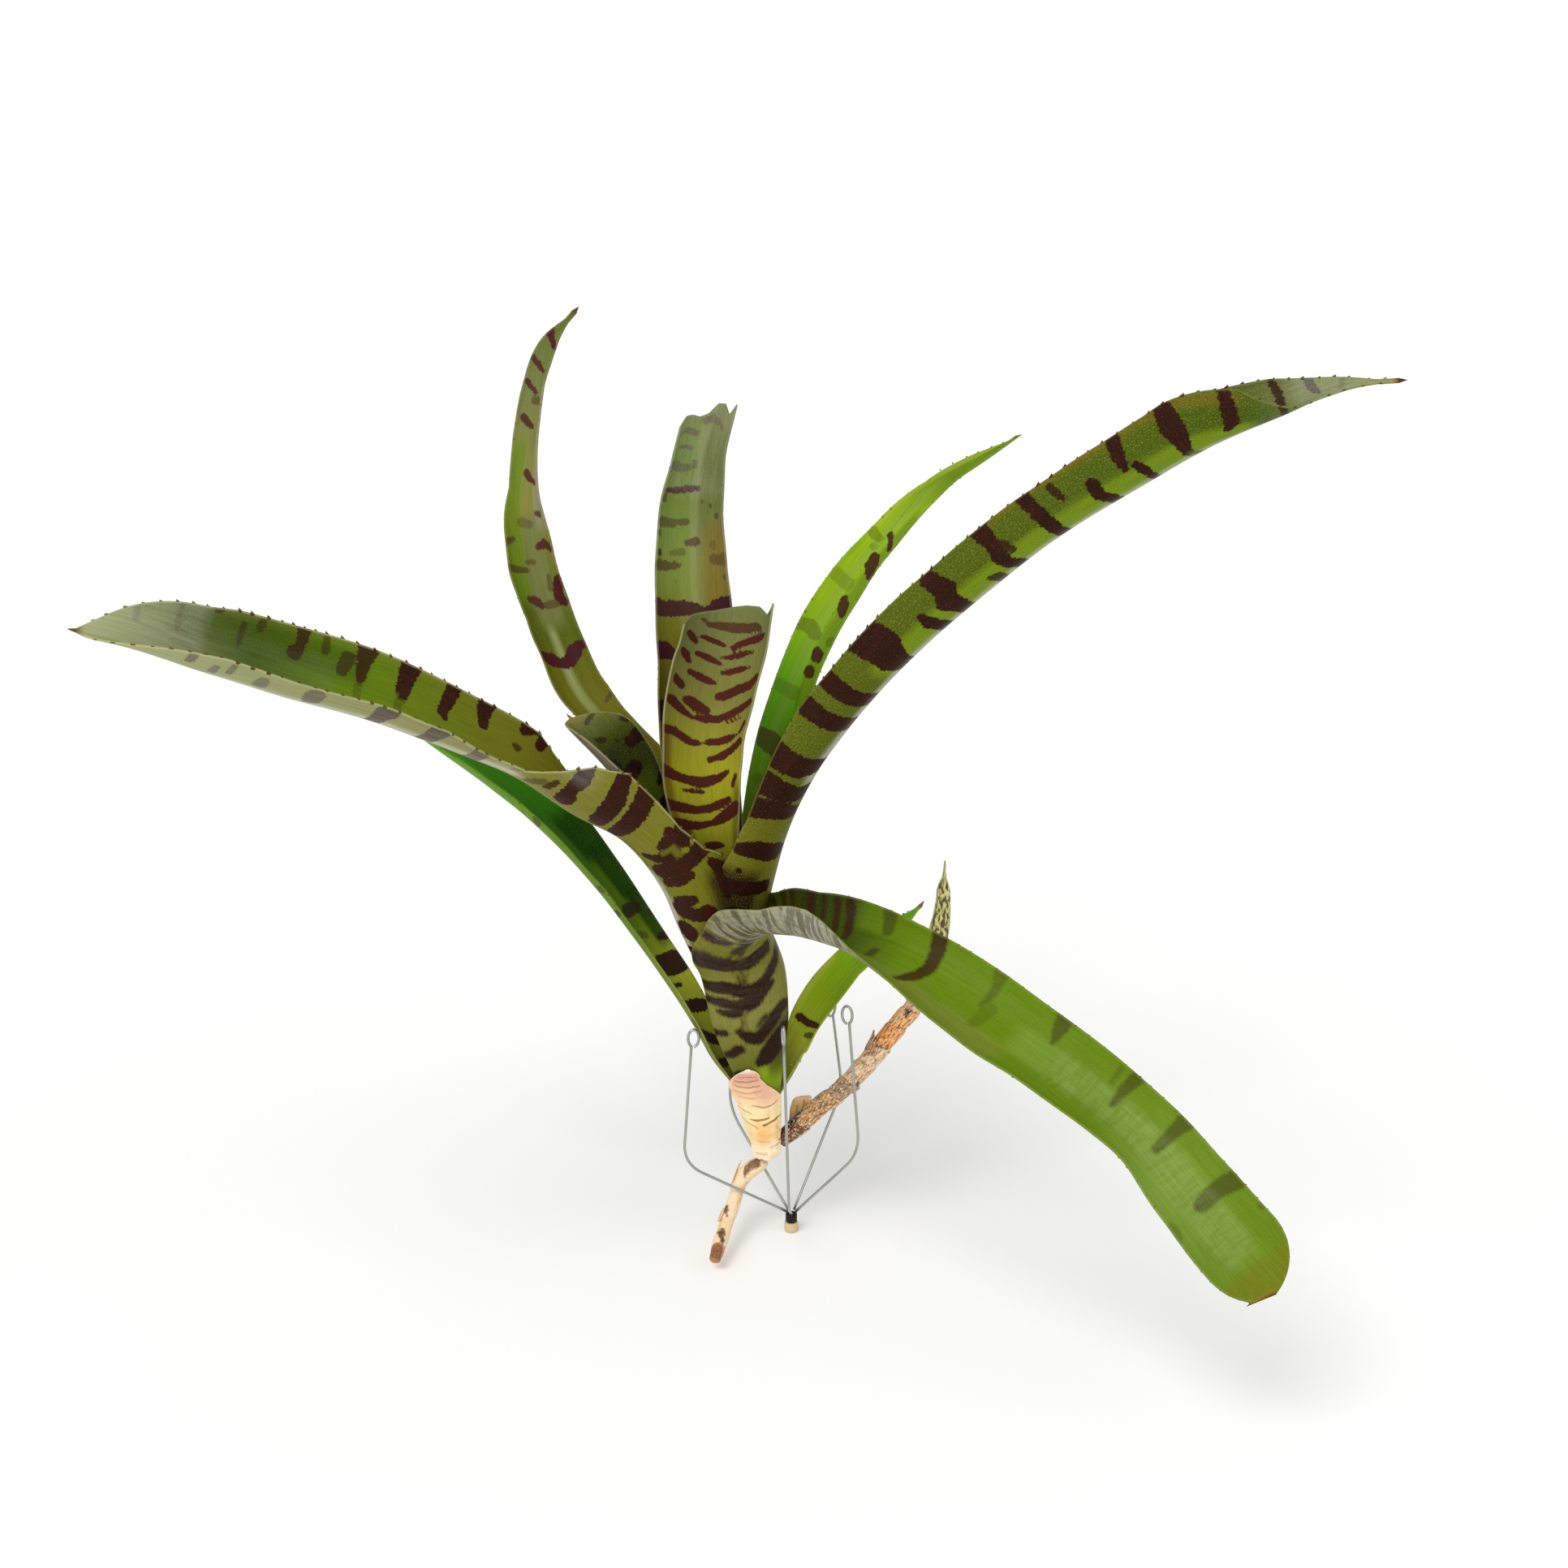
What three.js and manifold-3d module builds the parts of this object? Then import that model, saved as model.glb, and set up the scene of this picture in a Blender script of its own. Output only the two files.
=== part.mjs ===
// A neoregelia rubrifolia with ten channelled, toothed leaves rolled into one tube,
// its runner with a young pup, the stub of its old runner, and the wire claw that holds it.
// Millimetres, +Z up. The origin is the middle of the foot that the claw is fixed by.
import * as THREE from "three";
import Module from "manifold-3d";
import { mergeVertices } from "three/addons/utils/BufferGeometryUtils.js";

const wasm = await Module();
wasm.setup();

const radians = THREE.MathUtils.degToRad;
const up = new THREE.Vector3(0, 0, 1);

// The tube that the leaf sheaths roll up into: its foot, the lean of its axis, and its flare.
const tube = {
  foot: new THREE.Vector3(-9, 2, 31),
  lean: new THREE.Vector3(-13, 3, 100).normalize(),
  footRadius: 6,
  crownRadius: 17.8,
  flareHeight: 70,
  layerPitch: 1.6,
  lowestSheath: 2,
  rowHeight: 22,
};

// The short stem inside the tube. Each leaf starts where its layer has room around it.
const stem = { radius: 3, bottom: 1, top: 62, sides: 16, room: 1.1 };

// What all leaves share: columns across, station distance, thickness at the midrib,
// the share of it lost at the margins, and the marginal teeth.
const blade = {
  columns: 8,
  stationPitch: 13,
  thickness: 1.1,
  marginThinning: 0.35,
  leastHalfWidth: 0.9,
  spine: 3,
};
const tooth = { height: 1.4, base: 2.8, lead: 0.9 };

// Each leaf: the side of the tube it grows on (degrees from +X), its layer (1 is outermost),
// the height of its sheath, how far the sheath wraps to each side, then its midrib as
// x, y, z, half width round the channel, curl of the channel to each side, and roll.
// taper is the length of the narrowing tip and the two powers of its outline;
// cut is how far a blunt end is cut back across the blade.
const leaves = {
  left_long: {
    heading: 196, layer: 3, sheathTop: 72, wrap: [62, 68], colour: 0x76902f,
    midrib: [
      [-36.8, 1.5, 117, 16.5, 68, 0],
      [-42.5, 0.5, 131, 19.5, 72, 2],
      [-49, -2, 149, 21, 74, 4],
      [-63.5, -7, 171, 24, 72, 3],
      [-81, -14, 184, 26, 70, 0],
      [-102, -21, 202, 27.5, 70, 2],
      [-122, -30, 215, 28, 72, 6],
      [-149, -42, 231, 29.5, 74, 8],
      [-176, -54, 244, 29, 72, 10],
      [-201, -65, 257, 26, 66, 12],
      [-222, -74, 268, 21, 58, 14],
      [-237, -80, 273, 16, 50, 14],
    ],
    taper: [40, 2.2, 0.75],
  },
  right_long: {
    heading: -20, layer: 5, sheathTop: 94, wrap: [66, 70], colour: 0x7a8f35,
    midrib: [
      [-10.3, -0.6, 137, 12.5, 70, -6],
      [-6, -2.2, 157, 17, 74, -12],
      [-1.2, -5, 176, 19, 80, -24],
      [4, -8, 191, 19, 82, -32],
      [12, -11, 208, 19, 82, -38],
      [25, -15, 228, 19, 82, -40],
      [43, -21, 251, 19.5, 82, -40],
      [66, -28, 275, 19.5, 82, -40],
      [91, -35, 298, 19, 82, -40],
      [119, -42, 318, 19, 82, -38],
      [142, -48, 333, 18, 80, -36],
      [163, -53, 343, 15, 76, -34],
      [181, -57, 350, 10, 72, -32],
      [198, -60, 352, 5, 60, -30],
    ],
    taper: [70, 1.35, 1],
  },
  front_drooping: {
    heading: 285, layer: 1, sheathTop: 84, wrap: [44, 48, 54, 68, 80], colour: 0x5f8d23,
    midrib: [
      [-19, -16, 128, 24, 86, -6],
      [-12, -24, 139, 22.5, 84, -4],
      [3, -36, 145, 20, 78, 5],
      [20, -47, 146, 19, 68, 7],
      [37, -61, 144, 18, 56, 5],
      [56, -75, 137.6, 18, 45, 0],
      [78, -90, 127.6, 17.5, 42, -1],
      [100, -104, 116.8, 16.3, 42, 0],
      [120, -117, 104, 15, 42, 0],
      [135, -127, 88, 16.5, 42, 0],
      [149, -134, 72, 17.5, 42, 0],
      [163, -139, 57, 17, 40, 0],
    ],
    taper: [22, 2.2, 0.55],
  },
  left_lower: {
    heading: 166, layer: 2, sheathTop: 30, wrap: [50, 50], colour: 0x4f7f2b,
    midrib: [
      [-31, 5, 76.5, 8.5, 50, 0],
      [-37.5, 5.5, 90, 10, 52, 0],
      [-44.7, 6.5, 102.3, 11, 54, 0],
      [-52.9, 8.5, 114.6, 11.2, 56, 0],
      [-63.2, 12, 128.8, 12, 58, 0],
      [-75.5, 18, 143.5, 13.8, 58, 0],
      [-93, 24, 162, 17, 58, 0],
      [-113, 30, 178, 18, 56, 0],
      [-136, 35, 194, 17, 50, 0],
      [-157, 40, 207, 15, 48, 0],
      [-171, 42, 215, 13, 45, 0],
    ],
    taper: [60, 1.5, 1],
  },
  left_short: {
    heading: 170, layer: 6, sheathTop: 104, wrap: [48, 42], colour: 0x66832c,
    midrib: [
      [-41, 1, 158, 9, 46, -14],
      [-53, 1, 177, 15.5, 56, -10],
      [-62.5, 4, 189, 20, 56, 0],
      [-71, 8, 199.5, 21, 52, 4],
      [-83, 14, 211, 20.5, 46, 5],
    ],
    taper: [17, 2.2, 0.5],
  },
  back_left: {
    heading: 122, layer: 4, sheathTop: 106, wrap: [60, 56], colour: 0x6f8532,
    midrib: [
      [-36, 19, 160, 11, 56, 0],
      [-50, 28, 181, 11, 58, 0],
      [-66, 34, 196, 11, 60, 0],
      [-82, 41, 211, 12, 60, 0],
      [-91, 49, 228, 11.5, 60, 0],
      [-98.5, 56, 246, 12, 60, 6],
      [-101.5, 62, 263, 10.5, 60, 20],
      [-103, 69, 284, 9.2, 62, 46],
      [-100.5, 76, 305, 8, 64, 61],
      [-98, 82, 323, 7.5, 64, 60],
      [-93, 88, 340, 7.5, 56, 50],
      [-84, 92.5, 350.5, 5, 50, 45],
    ],
    taper: [44, 1.5, 1],
  },
  back_centre: {
    heading: 97, layer: 7, sheathTop: 110, wrap: [52, 54], colour: 0x6d8538,
    midrib: [
      [-30, 16, 168, 13, 60, 0],
      [-35, 21, 192, 17.5, 64, 0],
      [-36.3, 27, 214, 18.5, 66, 0],
      [-36.6, 33, 232, 18.2, 66, 0],
      [-38.5, 43, 261, 16.5, 62, 0],
      [-38, 51, 284, 14, 60, 0],
      [-35, 57, 303, 11.5, 58, 0],
      [-30, 62, 323, 11, 56, 0],
    ],
    cut: [0.5, 5, 1, 1.5, 6, 8, 8, 9, 14],
  },
  back_right: {
    heading: 52, layer: 3, sheathTop: 92, wrap: [52, 40], colour: 0x4f9a26,
    midrib: [
      [-14, 17, 141, 8, 44, 0],
      [-12, 21, 157, 9, 48, 0],
      [-9, 24, 170, 10, 54, 0],
      [-5, 27, 183, 12, 60, 0],
      [0, 32, 196, 13.5, 62, 0],
      [6, 38, 212, 14, 62, 0],
      [16, 49, 232, 15, 62, 0],
      [29, 60, 250, 15, 60, 0],
      [43, 70, 265, 13.5, 58, 0],
      [58, 78, 280, 12, 55, 0],
      [75, 86, 292, 10, 50, 0],
      [89, 92, 301, 8, 45, 0],
    ],
    taper: [60, 1.6, 0.9],
  },
  centre_young: {
    heading: 90, layer: 8, sheathTop: 112, wrap: [50, 54], colour: 0x98a63c,
    midrib: [
      [-28, 9, 157, 10, 60, 0],
      [-31, 9, 169, 14.5, 66, 0],
      [-33, 11, 187, 19, 72, 0],
      [-32.4, 14, 206, 21, 76, 0],
      [-29.6, 17, 222, 22.8, 80, 0],
      [-25.6, 20, 238, 23.4, 84, 0],
      [-21.6, 22, 259, 22.4, 84, 0],
    ],
    cut: [0, 6, 4, 5, 7, 9, 10, 11, 14],
  },
  right_lower: {
    heading: 25, layer: 2, sheathTop: 24, wrap: [50, 50], colour: 0x7fa32a,
    midrib: [
      [-1, 8, 66, 7, 50, 0],
      [4.3, 9, 77, 9.3, 54, 0],
      [9, 11, 86, 11.3, 58, 0],
      [15, 14, 93.6, 12.8, 58, 0],
      [22.4, 18, 101.2, 13.4, 55, 0],
      [32.3, 25, 110, 12.5, 50, 0],
      [42.3, 32, 119, 10.8, 45, 0],
      [51, 38, 125, 8.5, 40, 0],
    ],
    taper: [30, 1.4, 1],
  },
};

// The dead sheath round the foot of the tube, which ends in a blunt point, and the one
// small dead scale that still stands behind the runner.
const drySheath = {
  heading: 262, layer: 0, sheathBottom: 2, sheathTop: 46, wrap: [62, 64], colour: 0xe3c39a,
  midrib: [], taper: [17, 1.8, 0.8],
};
const dryScale = {
  heading: 290, colour: 0xc7a06c,
  midrib: [
    [2, 8, 43, 3, 50, 0],
    [3.5, 8.8, 47, 4.4, 50, 0],
    [4.6, 9.2, 51, 4.6, 45, 0],
    [5, 9.2, 55, 4, 40, 0],
  ],
  taper: [6, 2.2, 0.5],
};

// The creeping stems, as x, y, z, radius down their middle lines, and their ringing scales:
// the distance between nodes, how far a scale flares, and where its free rim ends. Some
// scales end in a small flat free point, given as a distance and a turn round the stem.
const ringScale = { pitch: 13, flare: 0.16, rim: 0.86, step: 0.06, sides: 9 };
const freePoint = { length: 9, radius: 1.7, sides: 5, flatness: 0.5, lean: 0.35, seat: 0.2 };
const runner = {
  colour: 0xb98a55,
  route: [
    [-4.2, 3, 38.5, 3.2],
    [3, 3, 45.5, 3.9],
    [11, 2, 54, 3.8],
    [20.5, 1, 63, 3.8],
    [32, 3, 76, 4],
    [41, 6, 87, 3.8],
    [49, 8, 97, 3.6],
    [54, 10, 109, 3.3],
  ],
  scaleTips: [[32, 0.42], [52, 0.3]],
};
const stub = {
  colour: 0xe0bf95,
  route: [
    [-10.7, 2.4, 29.6, 2.1],
    [-12.2, 2.6, 28.2, 2.7],
    [-14.7, 2.8, 27, 3.2],
    [-17.5, 3.2, 24, 3.2],
    [-20.4, 2, 19.8, 2.9],
    [-22.9, -4.3, 14.8, 2.9],
    [-26, -15, 10.2, 3],
    [-28.5, -25, 6.6, 2.8],
    [-29.7, -31, 5.2, 2.2],
  ],
  scaleTips: [[11, 3.3], [26, 3.6], [38, 3.3]],
};
const pup = {
  colour: 0x8f9a4a, steps: 10, sides: 10,
  route: [
    [54.3, 10.2, 109.9, 3.1],
    [55, 10.7, 114, 3.7],
    [56, 11, 119, 4],
    [57.3, 11, 127, 4],
    [58.2, 10.6, 137, 3],
    [58.5, 10.2, 147, 1.6],
    [58.4, 10, 155, 0.5],
  ],
};

// The claw: a foot and a collar on one axis, and five wires that leave the collar, bend up
// round the plant and end in an eye. Each wire: where it bends, and where it ends.
const claw = {
  footRadius: 2.75,
  footHeight: 3.8,
  collarRadius: 2.3,
  collarHeight: 3.4,
  seatGap: 0.3,
  wireRadius: 0.55,
  wireCircle: 1.6,
  bendLength: 9,
  bendSteps: 6,
  eyeWidth: 4.2,
  eyeHeight: 7.3,
  eyeStart: -65,
  eyeTurn: 332,
  eyeSteps: 11,
  sides: 6,
  turnedSides: 16,
  edge: 0.5,
};
const prongs = {
  left: { bend: [-42.5, -7, 33.5], top: [-38.8, -4.2, 83.4] },
  right: { bend: [26.5, -12, 41], top: [22, -12, 97] },
  front: { bend: [-1, -33, 28], top: [-3, -33, 98] },
  back_right: { bend: [20.5, 23, 51], top: [16.5, 23, 84] },
  back_left: { bend: [-25, 24, 42], top: [-23, 17.9, 90] },
};

// Geometry from a list of points and a list of triangles.
function surfaceOf(points, triangles) {
  const geometry = new THREE.BufferGeometry().setFromPoints(points);
  geometry.setIndex(triangles.flat());
  geometry.computeVertexNormals();
  return geometry;
}

function part(name, geometry, colour, roughness = 0.5, metalness = 0) {
  const material = new THREE.MeshStandardMaterial({ color: colour, roughness, metalness });
  const mesh = new THREE.Mesh(geometry, material);
  mesh.name = name;
  return mesh;
}

// A closed geometry as a solid that can be joined to others, and back again.
function solidOf(geometry) {
  const bare = geometry.clone();
  bare.deleteAttribute("normal");
  bare.deleteAttribute("uv");
  const merged = mergeVertices(bare);
  return new wasm.Manifold(
    new wasm.Mesh({
      numProp: 3,
      vertProperties: new Float32Array(merged.attributes.position.array),
      triVerts: new Uint32Array(merged.index.array),
    }),
  );
}

function geometryOf(solid) {
  const mesh = solid.getMesh();
  const geometry = new THREE.BufferGeometry();
  geometry.setAttribute("position", new THREE.BufferAttribute(mesh.vertProperties, 3));
  geometry.setIndex(new THREE.BufferAttribute(mesh.triVerts, 1));
  geometry.computeVertexNormals();
  return geometry;
}

// A smooth curve through rows of numbers at given distances: the slope at each row is the
// mean of the slopes beside it, weighted towards the nearer row.
function smoothRow(rows, distances, distance) {
  const last = rows.length - 1;
  const slope = (a, b, n) => (rows[b][n] - rows[a][n]) / (distances[b] - distances[a]);
  const slopeAt = (i, n) => {
    if (i === 0) return slope(0, 1, n);
    if (i === last) return slope(last - 1, last, n);
    const before = distances[i] - distances[i - 1];
    const after = distances[i + 1] - distances[i];
    return (slope(i, i + 1, n) * before + slope(i - 1, i, n) * after) / (before + after);
  };
  let i = 0;
  while (i < last - 1 && distance > distances[i + 1]) i += 1;
  const span = distances[i + 1] - distances[i];
  const t = (distance - distances[i]) / span;
  const t2 = t * t;
  const t3 = t2 * t;
  return rows[0].map(
    (_, n) =>
      (2 * t3 - 3 * t2 + 1) * rows[i][n] +
      (t3 - 2 * t2 + t) * span * slopeAt(i, n) +
      (3 * t2 - 2 * t3) * rows[i + 1][n] +
      (t3 - t2) * span * slopeAt(i + 1, n),
  );
}

function distancesAlong(rows) {
  const distances = [0];
  for (let i = 1; i < rows.length; i += 1) {
    const [a, b] = [rows[i - 1], rows[i]];
    distances.push(distances[i - 1] + Math.hypot(b[0] - a[0], b[1] - a[1], b[2] - a[2]));
  }
  return distances;
}

// The value at a share of the way along a list of numbers.
function alongList(list, share) {
  const at = share * (list.length - 1);
  const i = Math.min(Math.floor(at), list.length - 2);
  return THREE.MathUtils.lerp(list[i], list[i + 1], at - i);
}

// The tube's radius at a height along its axis, before its layers are counted inwards.
function tubeRadius(height) {
  const t = THREE.MathUtils.clamp(height / tube.flareHeight, 0, 1);
  return tube.footRadius + (tube.crownRadius - tube.footRadius) * t * t * (3 - 2 * t);
}

// The direction away from the tube's axis on the side that a leaf grows on.
function outwardAt(heading) {
  const a = radians(heading);
  const flat = new THREE.Vector3(Math.cos(a), Math.sin(a), 0);
  return flat.addScaledVector(tube.lean, -flat.dot(tube.lean)).normalize();
}

// Where a layer first has room round the stem.
function sheathBottom(layer) {
  let height = tube.lowestSheath + layer;
  while (tubeRadius(height) - layer * tube.layerPitch < stem.radius + stem.room) height += 1;
  return height;
}

// A leaf's rows: its sheath on its layer of the tube, then its own midrib. The last number
// of a row is 0 where the leaf follows the tube and 1 where it stands free.
function rowsOf(leaf) {
  const rows = [];
  if (leaf.sheathTop) {
    const outward = outwardAt(leaf.heading);
    const bottom = leaf.sheathBottom ?? sheathBottom(leaf.layer);
    const steps = Math.ceil((leaf.sheathTop - bottom) / tube.rowHeight);
    for (let i = 0; i <= steps; i += 1) {
      const height = THREE.MathUtils.lerp(bottom, leaf.sheathTop, i / steps);
      const radius = tubeRadius(height) - leaf.layer * tube.layerPitch;
      const wrap = alongList(leaf.wrap, i / steps);
      const place = tube.foot.clone().addScaledVector(tube.lean, height);
      place.addScaledVector(outward, radius);
      rows.push([...place.toArray(), radius * radians(wrap), wrap, 0, 0]);
    }
  }
  leaf.midrib.forEach((row) => rows.push([...row, 1]));
  return rows;
}

// A leaf as a surface: a place on it is given by the distance along the midrib, by v from
// -1 to 1 across, and by how far it lies behind the middle of the blade.
class LeafSurface {
  constructor(leaf) {
    this.leaf = leaf;
    this.rows = rowsOf(leaf);
    this.distances = distancesAlong(this.rows);
    this.length = this.distances.at(-1);
    this.freeFrom = this.length - distancesAlong(leaf.midrib).at(-1);
  }

  frame(distance) {
    const step = 0.5;
    const row = smoothRow(this.rows, this.distances, distance);
    const ahead = smoothRow(this.rows, this.distances, Math.min(distance + step, this.length));
    const behind = smoothRow(this.rows, this.distances, Math.max(distance - step, 0));
    const along = new THREE.Vector3(...ahead.slice(0, 3)).sub(new THREE.Vector3(...behind)).normalize();
    const outward = outwardAt(this.leaf.heading);
    const sideways = tube.lean.clone().cross(outward);
    const freeSide = sideways.clone().addScaledVector(along, -sideways.dot(along)).normalize();
    const freeInward = along.clone().cross(freeSide);
    const free = THREE.MathUtils.clamp(row[6], 0, 1);
    const inward = outward.negate().lerp(freeInward, free).normalize();
    const side = sideways.lerp(freeSide, free);
    side.addScaledVector(inward, -side.dot(inward)).normalize();
    const roll = radians(row[5]);
    return {
      midrib: new THREE.Vector3(...row.slice(0, 3)),
      inward: inward.clone().multiplyScalar(Math.cos(roll)).addScaledVector(side, Math.sin(roll)),
      side: side.clone().multiplyScalar(Math.cos(roll)).addScaledVector(inward, -Math.sin(roll)),
      half: row[3],
      curl: radians(row[4]),
    };
  }

  // The share of the half width that is left at a distance, for the narrowing tip.
  narrowing(distance) {
    if (!this.leaf.taper) return 1;
    const [length, rounding, fullness] = this.leaf.taper;
    const t = THREE.MathUtils.clamp(1 - (this.length - distance) / length, 0, 1);
    return (1 - t ** rounding) ** fullness;
  }

  // How far a blunt end is cut back at v.
  cutBack(v) {
    return alongList(this.leaf.cut, (v + 1) / 2);
  }

  place(distance, v, behind) {
    const cutZone = 30;
    let at = distance;
    if (this.leaf.cut) {
      const near = THREE.MathUtils.clamp(1 - (this.length - distance) / cutZone, 0, 1);
      at -= this.cutBack(THREE.MathUtils.clamp(v, -1, 1)) * near;
    }
    const { midrib, inward, side, half, curl } = this.frame(at);
    const radius = half / curl;
    const halfLeft = Math.max(half * this.narrowing(at), blade.leastHalfWidth);
    const angle = (v * halfLeft) / radius;
    const outwards = side.multiplyScalar(Math.sin(angle)).addScaledVector(inward, -Math.cos(angle));
    return midrib.addScaledVector(inward, radius).addScaledVector(outwards, radius + behind);
  }

  halfThickness(v) {
    return (blade.thickness / 2) * (1 - blade.marginThinning * v * v);
  }
}

// The distances of a leaf's stations: even along its body, closer in its narrowing tip.
function stationsOf(surface) {
  const tipShares = [0.3, 0.55, 0.75, 0.9, 1];
  const tipLength = surface.leaf.taper ? surface.leaf.taper[0] : 0;
  const body = surface.length - tipLength;
  const count = Math.max(2, Math.round(body / blade.stationPitch));
  const stations = Array.from({ length: count + 1 }, (_, i) => (body * i) / count);
  return tipLength ? stations.concat(tipShares.map((share) => body + tipLength * share)) : stations;
}

// A leaf as one closed body, with a tooth on each margin between every two stations of the
// free blade, and a spine at a narrowing tip.
function leafGeometry(leaf, toothed = true) {
  const surface = new LeafSurface(leaf);
  const stations = stationsOf(surface);
  const { columns } = blade;
  const points = [];
  const triangles = [];
  const add = (point) => points.push(point) - 1;
  const quad = (a, b, c, d) => triangles.push([a, b, c], [a, c, d]);
  const sheet = (face) =>
    stations.map((distance) =>
      Array.from({ length: columns + 1 }, (_, j) => {
        const v = (2 * j) / columns - 1;
        return add(surface.place(distance, v, face * surface.halfThickness(v)));
      }),
    );
  const front = sheet(-1);
  const back = sheet(1);
  const lastStation = stations.length - 1;

  for (let i = 0; i < lastStation; i += 1) {
    const span = stations[i + 1] - stations[i];
    const free = stations[i] > surface.freeFrom && span > 2 * tooth.base;
    for (let j = 0; j < columns; j += 1) {
      const edge = j === 0 ? 0 : j === columns - 1 ? columns : -1;
      if (toothed && free && edge >= 0) continue;
      quad(front[i][j], front[i + 1][j], front[i + 1][j + 1], front[i][j + 1]);
      quad(back[i][j], back[i][j + 1], back[i + 1][j + 1], back[i + 1][j]);
    }
    [0, columns].forEach((edge) => {
      const v = edge === 0 ? -1 : 1;
      const near = edge === 0 ? 1 : columns - 1;
      const turn = (a, b, c) => triangles.push(edge === 0 ? [a, b, c] : [a, c, b]);
      if (!(toothed && free)) {
        turn(front[i][edge], back[i][edge], back[i + 1][edge]);
        turn(front[i][edge], back[i + 1][edge], front[i + 1][edge]);
        return;
      }
      const middle = (stations[i] + stations[i + 1]) / 2;
      const thick = surface.halfThickness(1);
      const from = middle - tooth.base / 2;
      const to = middle + tooth.base / 2;
      const half = surface.frame(middle).half * surface.narrowing(middle);
      const apex = add(surface.place(middle + tooth.lead, v * (1 + tooth.height / half), 0));
      [front, back].forEach((face, side) => {
        const a = add(surface.place(from, v, side ? thick : -thick));
        const b = add(surface.place(to, v, side ? thick : -thick));
        const facing = side ? (p, q, r) => turn(p, r, q) : turn;
        facing(face[i][near], face[i][edge], a);
        facing(face[i][near], a, b);
        facing(face[i][near], b, face[i + 1][near]);
        facing(face[i + 1][near], b, face[i + 1][edge]);
        facing(a, apex, b);
      });
      const [frontFrom, frontTo, backFrom, backTo] = [4, 3, 2, 1].map((n) => points.length - n);
      turn(front[i][edge], back[i][edge], backFrom);
      turn(front[i][edge], backFrom, frontFrom);
      turn(frontFrom, backFrom, apex);
      turn(frontTo, apex, backTo);
      turn(frontTo, backTo, back[i + 1][edge]);
      turn(frontTo, back[i + 1][edge], front[i + 1][edge]);
    });
  }
  for (let j = 0; j < columns; j += 1) {
    quad(front[0][j], front[0][j + 1], back[0][j + 1], back[0][j]);
    if (leaf.taper) continue;
    const [f, b] = [front[lastStation], back[lastStation]];
    quad(f[j], b[j], b[j + 1], f[j + 1]);
  }
  if (leaf.taper) {
    const end = surface.frame(surface.length).midrib;
    const before = surface.frame(surface.length - 1).midrib;
    const apex = add(end.clone().addScaledVector(end.clone().sub(before).normalize(), blade.spine));
    const [f, b] = [front[lastStation], back[lastStation]];
    for (let j = 0; j < columns; j += 1) {
      triangles.push([f[j], apex, f[j + 1]], [b[j], b[j + 1], apex]);
    }
    triangles.push([f[0], b[0], apex], [f[columns], apex, b[columns]]);
  }
  return surfaceOf(points, triangles);
}

// A round bar down a list of points, with its own radius at each, closed at both ends.
function barGeometry(places, radii, sides) {
  const points = [];
  const triangles = [];
  const tangentAt = (i) =>
    places[Math.min(i + 1, places.length - 1)].clone().sub(places[Math.max(i - 1, 0)]).normalize();
  let side = new THREE.Vector3(1, 0, 0);
  places.forEach((place, i) => {
    const tangent = tangentAt(i);
    side = side.clone().addScaledVector(tangent, -side.dot(tangent)).normalize();
    const other = tangent.clone().cross(side);
    for (let k = 0; k < sides; k += 1) {
      const angle = (2 * Math.PI * k) / sides;
      points.push(
        place
          .clone()
          .addScaledVector(side, radii[i] * Math.cos(angle))
          .addScaledVector(other, radii[i] * Math.sin(angle)),
      );
    }
  });
  const last = places.length - 1;
  for (let i = 0; i < last; i += 1) {
    for (let k = 0; k < sides; k += 1) {
      const [a, b] = [i * sides + k, i * sides + ((k + 1) % sides)];
      triangles.push([a, b, b + sides], [a, b + sides, a + sides]);
    }
  }
  for (let k = 1; k < sides - 1; k += 1) {
    triangles.push([0, k + 1, k], [last * sides, last * sides + k, last * sides + k + 1]);
  }
  return surfaceOf(points, triangles);
}

// A creeping stem: it swells along each internode under a scale that ends in a low rim.
function creepingStem(spec) {
  const distances = distancesAlong(spec.route);
  const length = distances.at(-1);
  const middleShare = 0.45;
  const shares = [middleShare, ringScale.rim, ringScale.rim + ringScale.step];
  const marks = [0];
  for (let node = 0; node * ringScale.pitch < length; node += 1) {
    const nodeMarks = shares.map((share) => (node + share) * ringScale.pitch);
    marks.push(...nodeMarks.filter((mark) => mark < length - 1));
  }
  marks.push(length);
  const rows = marks.map((mark) => smoothRow(spec.route, distances, mark));
  const swelling = (mark) => {
    const share = (mark / ringScale.pitch) % 1;
    return share <= ringScale.rim + 1e-6 ? 1 + ringScale.flare * share : 1;
  };
  const places = rows.map((row) => new THREE.Vector3(...row.slice(0, 3)));
  const radii = rows.map((row, i) => row[3] * swelling(marks[i]));
  let solid = solidOf(barGeometry(places, radii, ringScale.sides));
  spec.scaleTips.forEach(([distance, turn]) => {
    const at = smoothRow(spec.route, distances, distance);
    const next = smoothRow(spec.route, distances, distance + 1);
    const middle = new THREE.Vector3(...at.slice(0, 3));
    const along = new THREE.Vector3(...next.slice(0, 3)).sub(middle).normalize();
    const side = new THREE.Vector3(0, -1, 0).addScaledVector(along, along.y).normalize();
    side.applyAxisAngle(along, turn);
    const cone = new THREE.ConeGeometry(freePoint.radius, freePoint.length, freePoint.sides);
    cone.scale(1, 1, freePoint.flatness);
    const lean = along.clone().addScaledVector(side, freePoint.lean).normalize();
    const across = lean.clone().cross(side).normalize();
    cone.applyMatrix4(new THREE.Matrix4().makeBasis(across, lean, across.clone().cross(lean)));
    cone.translate(...middle.addScaledVector(side, at[3] + freePoint.seat).toArray());
    solid = solid.add(solidOf(cone));
  });
  return geometryOf(solid);
}

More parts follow.
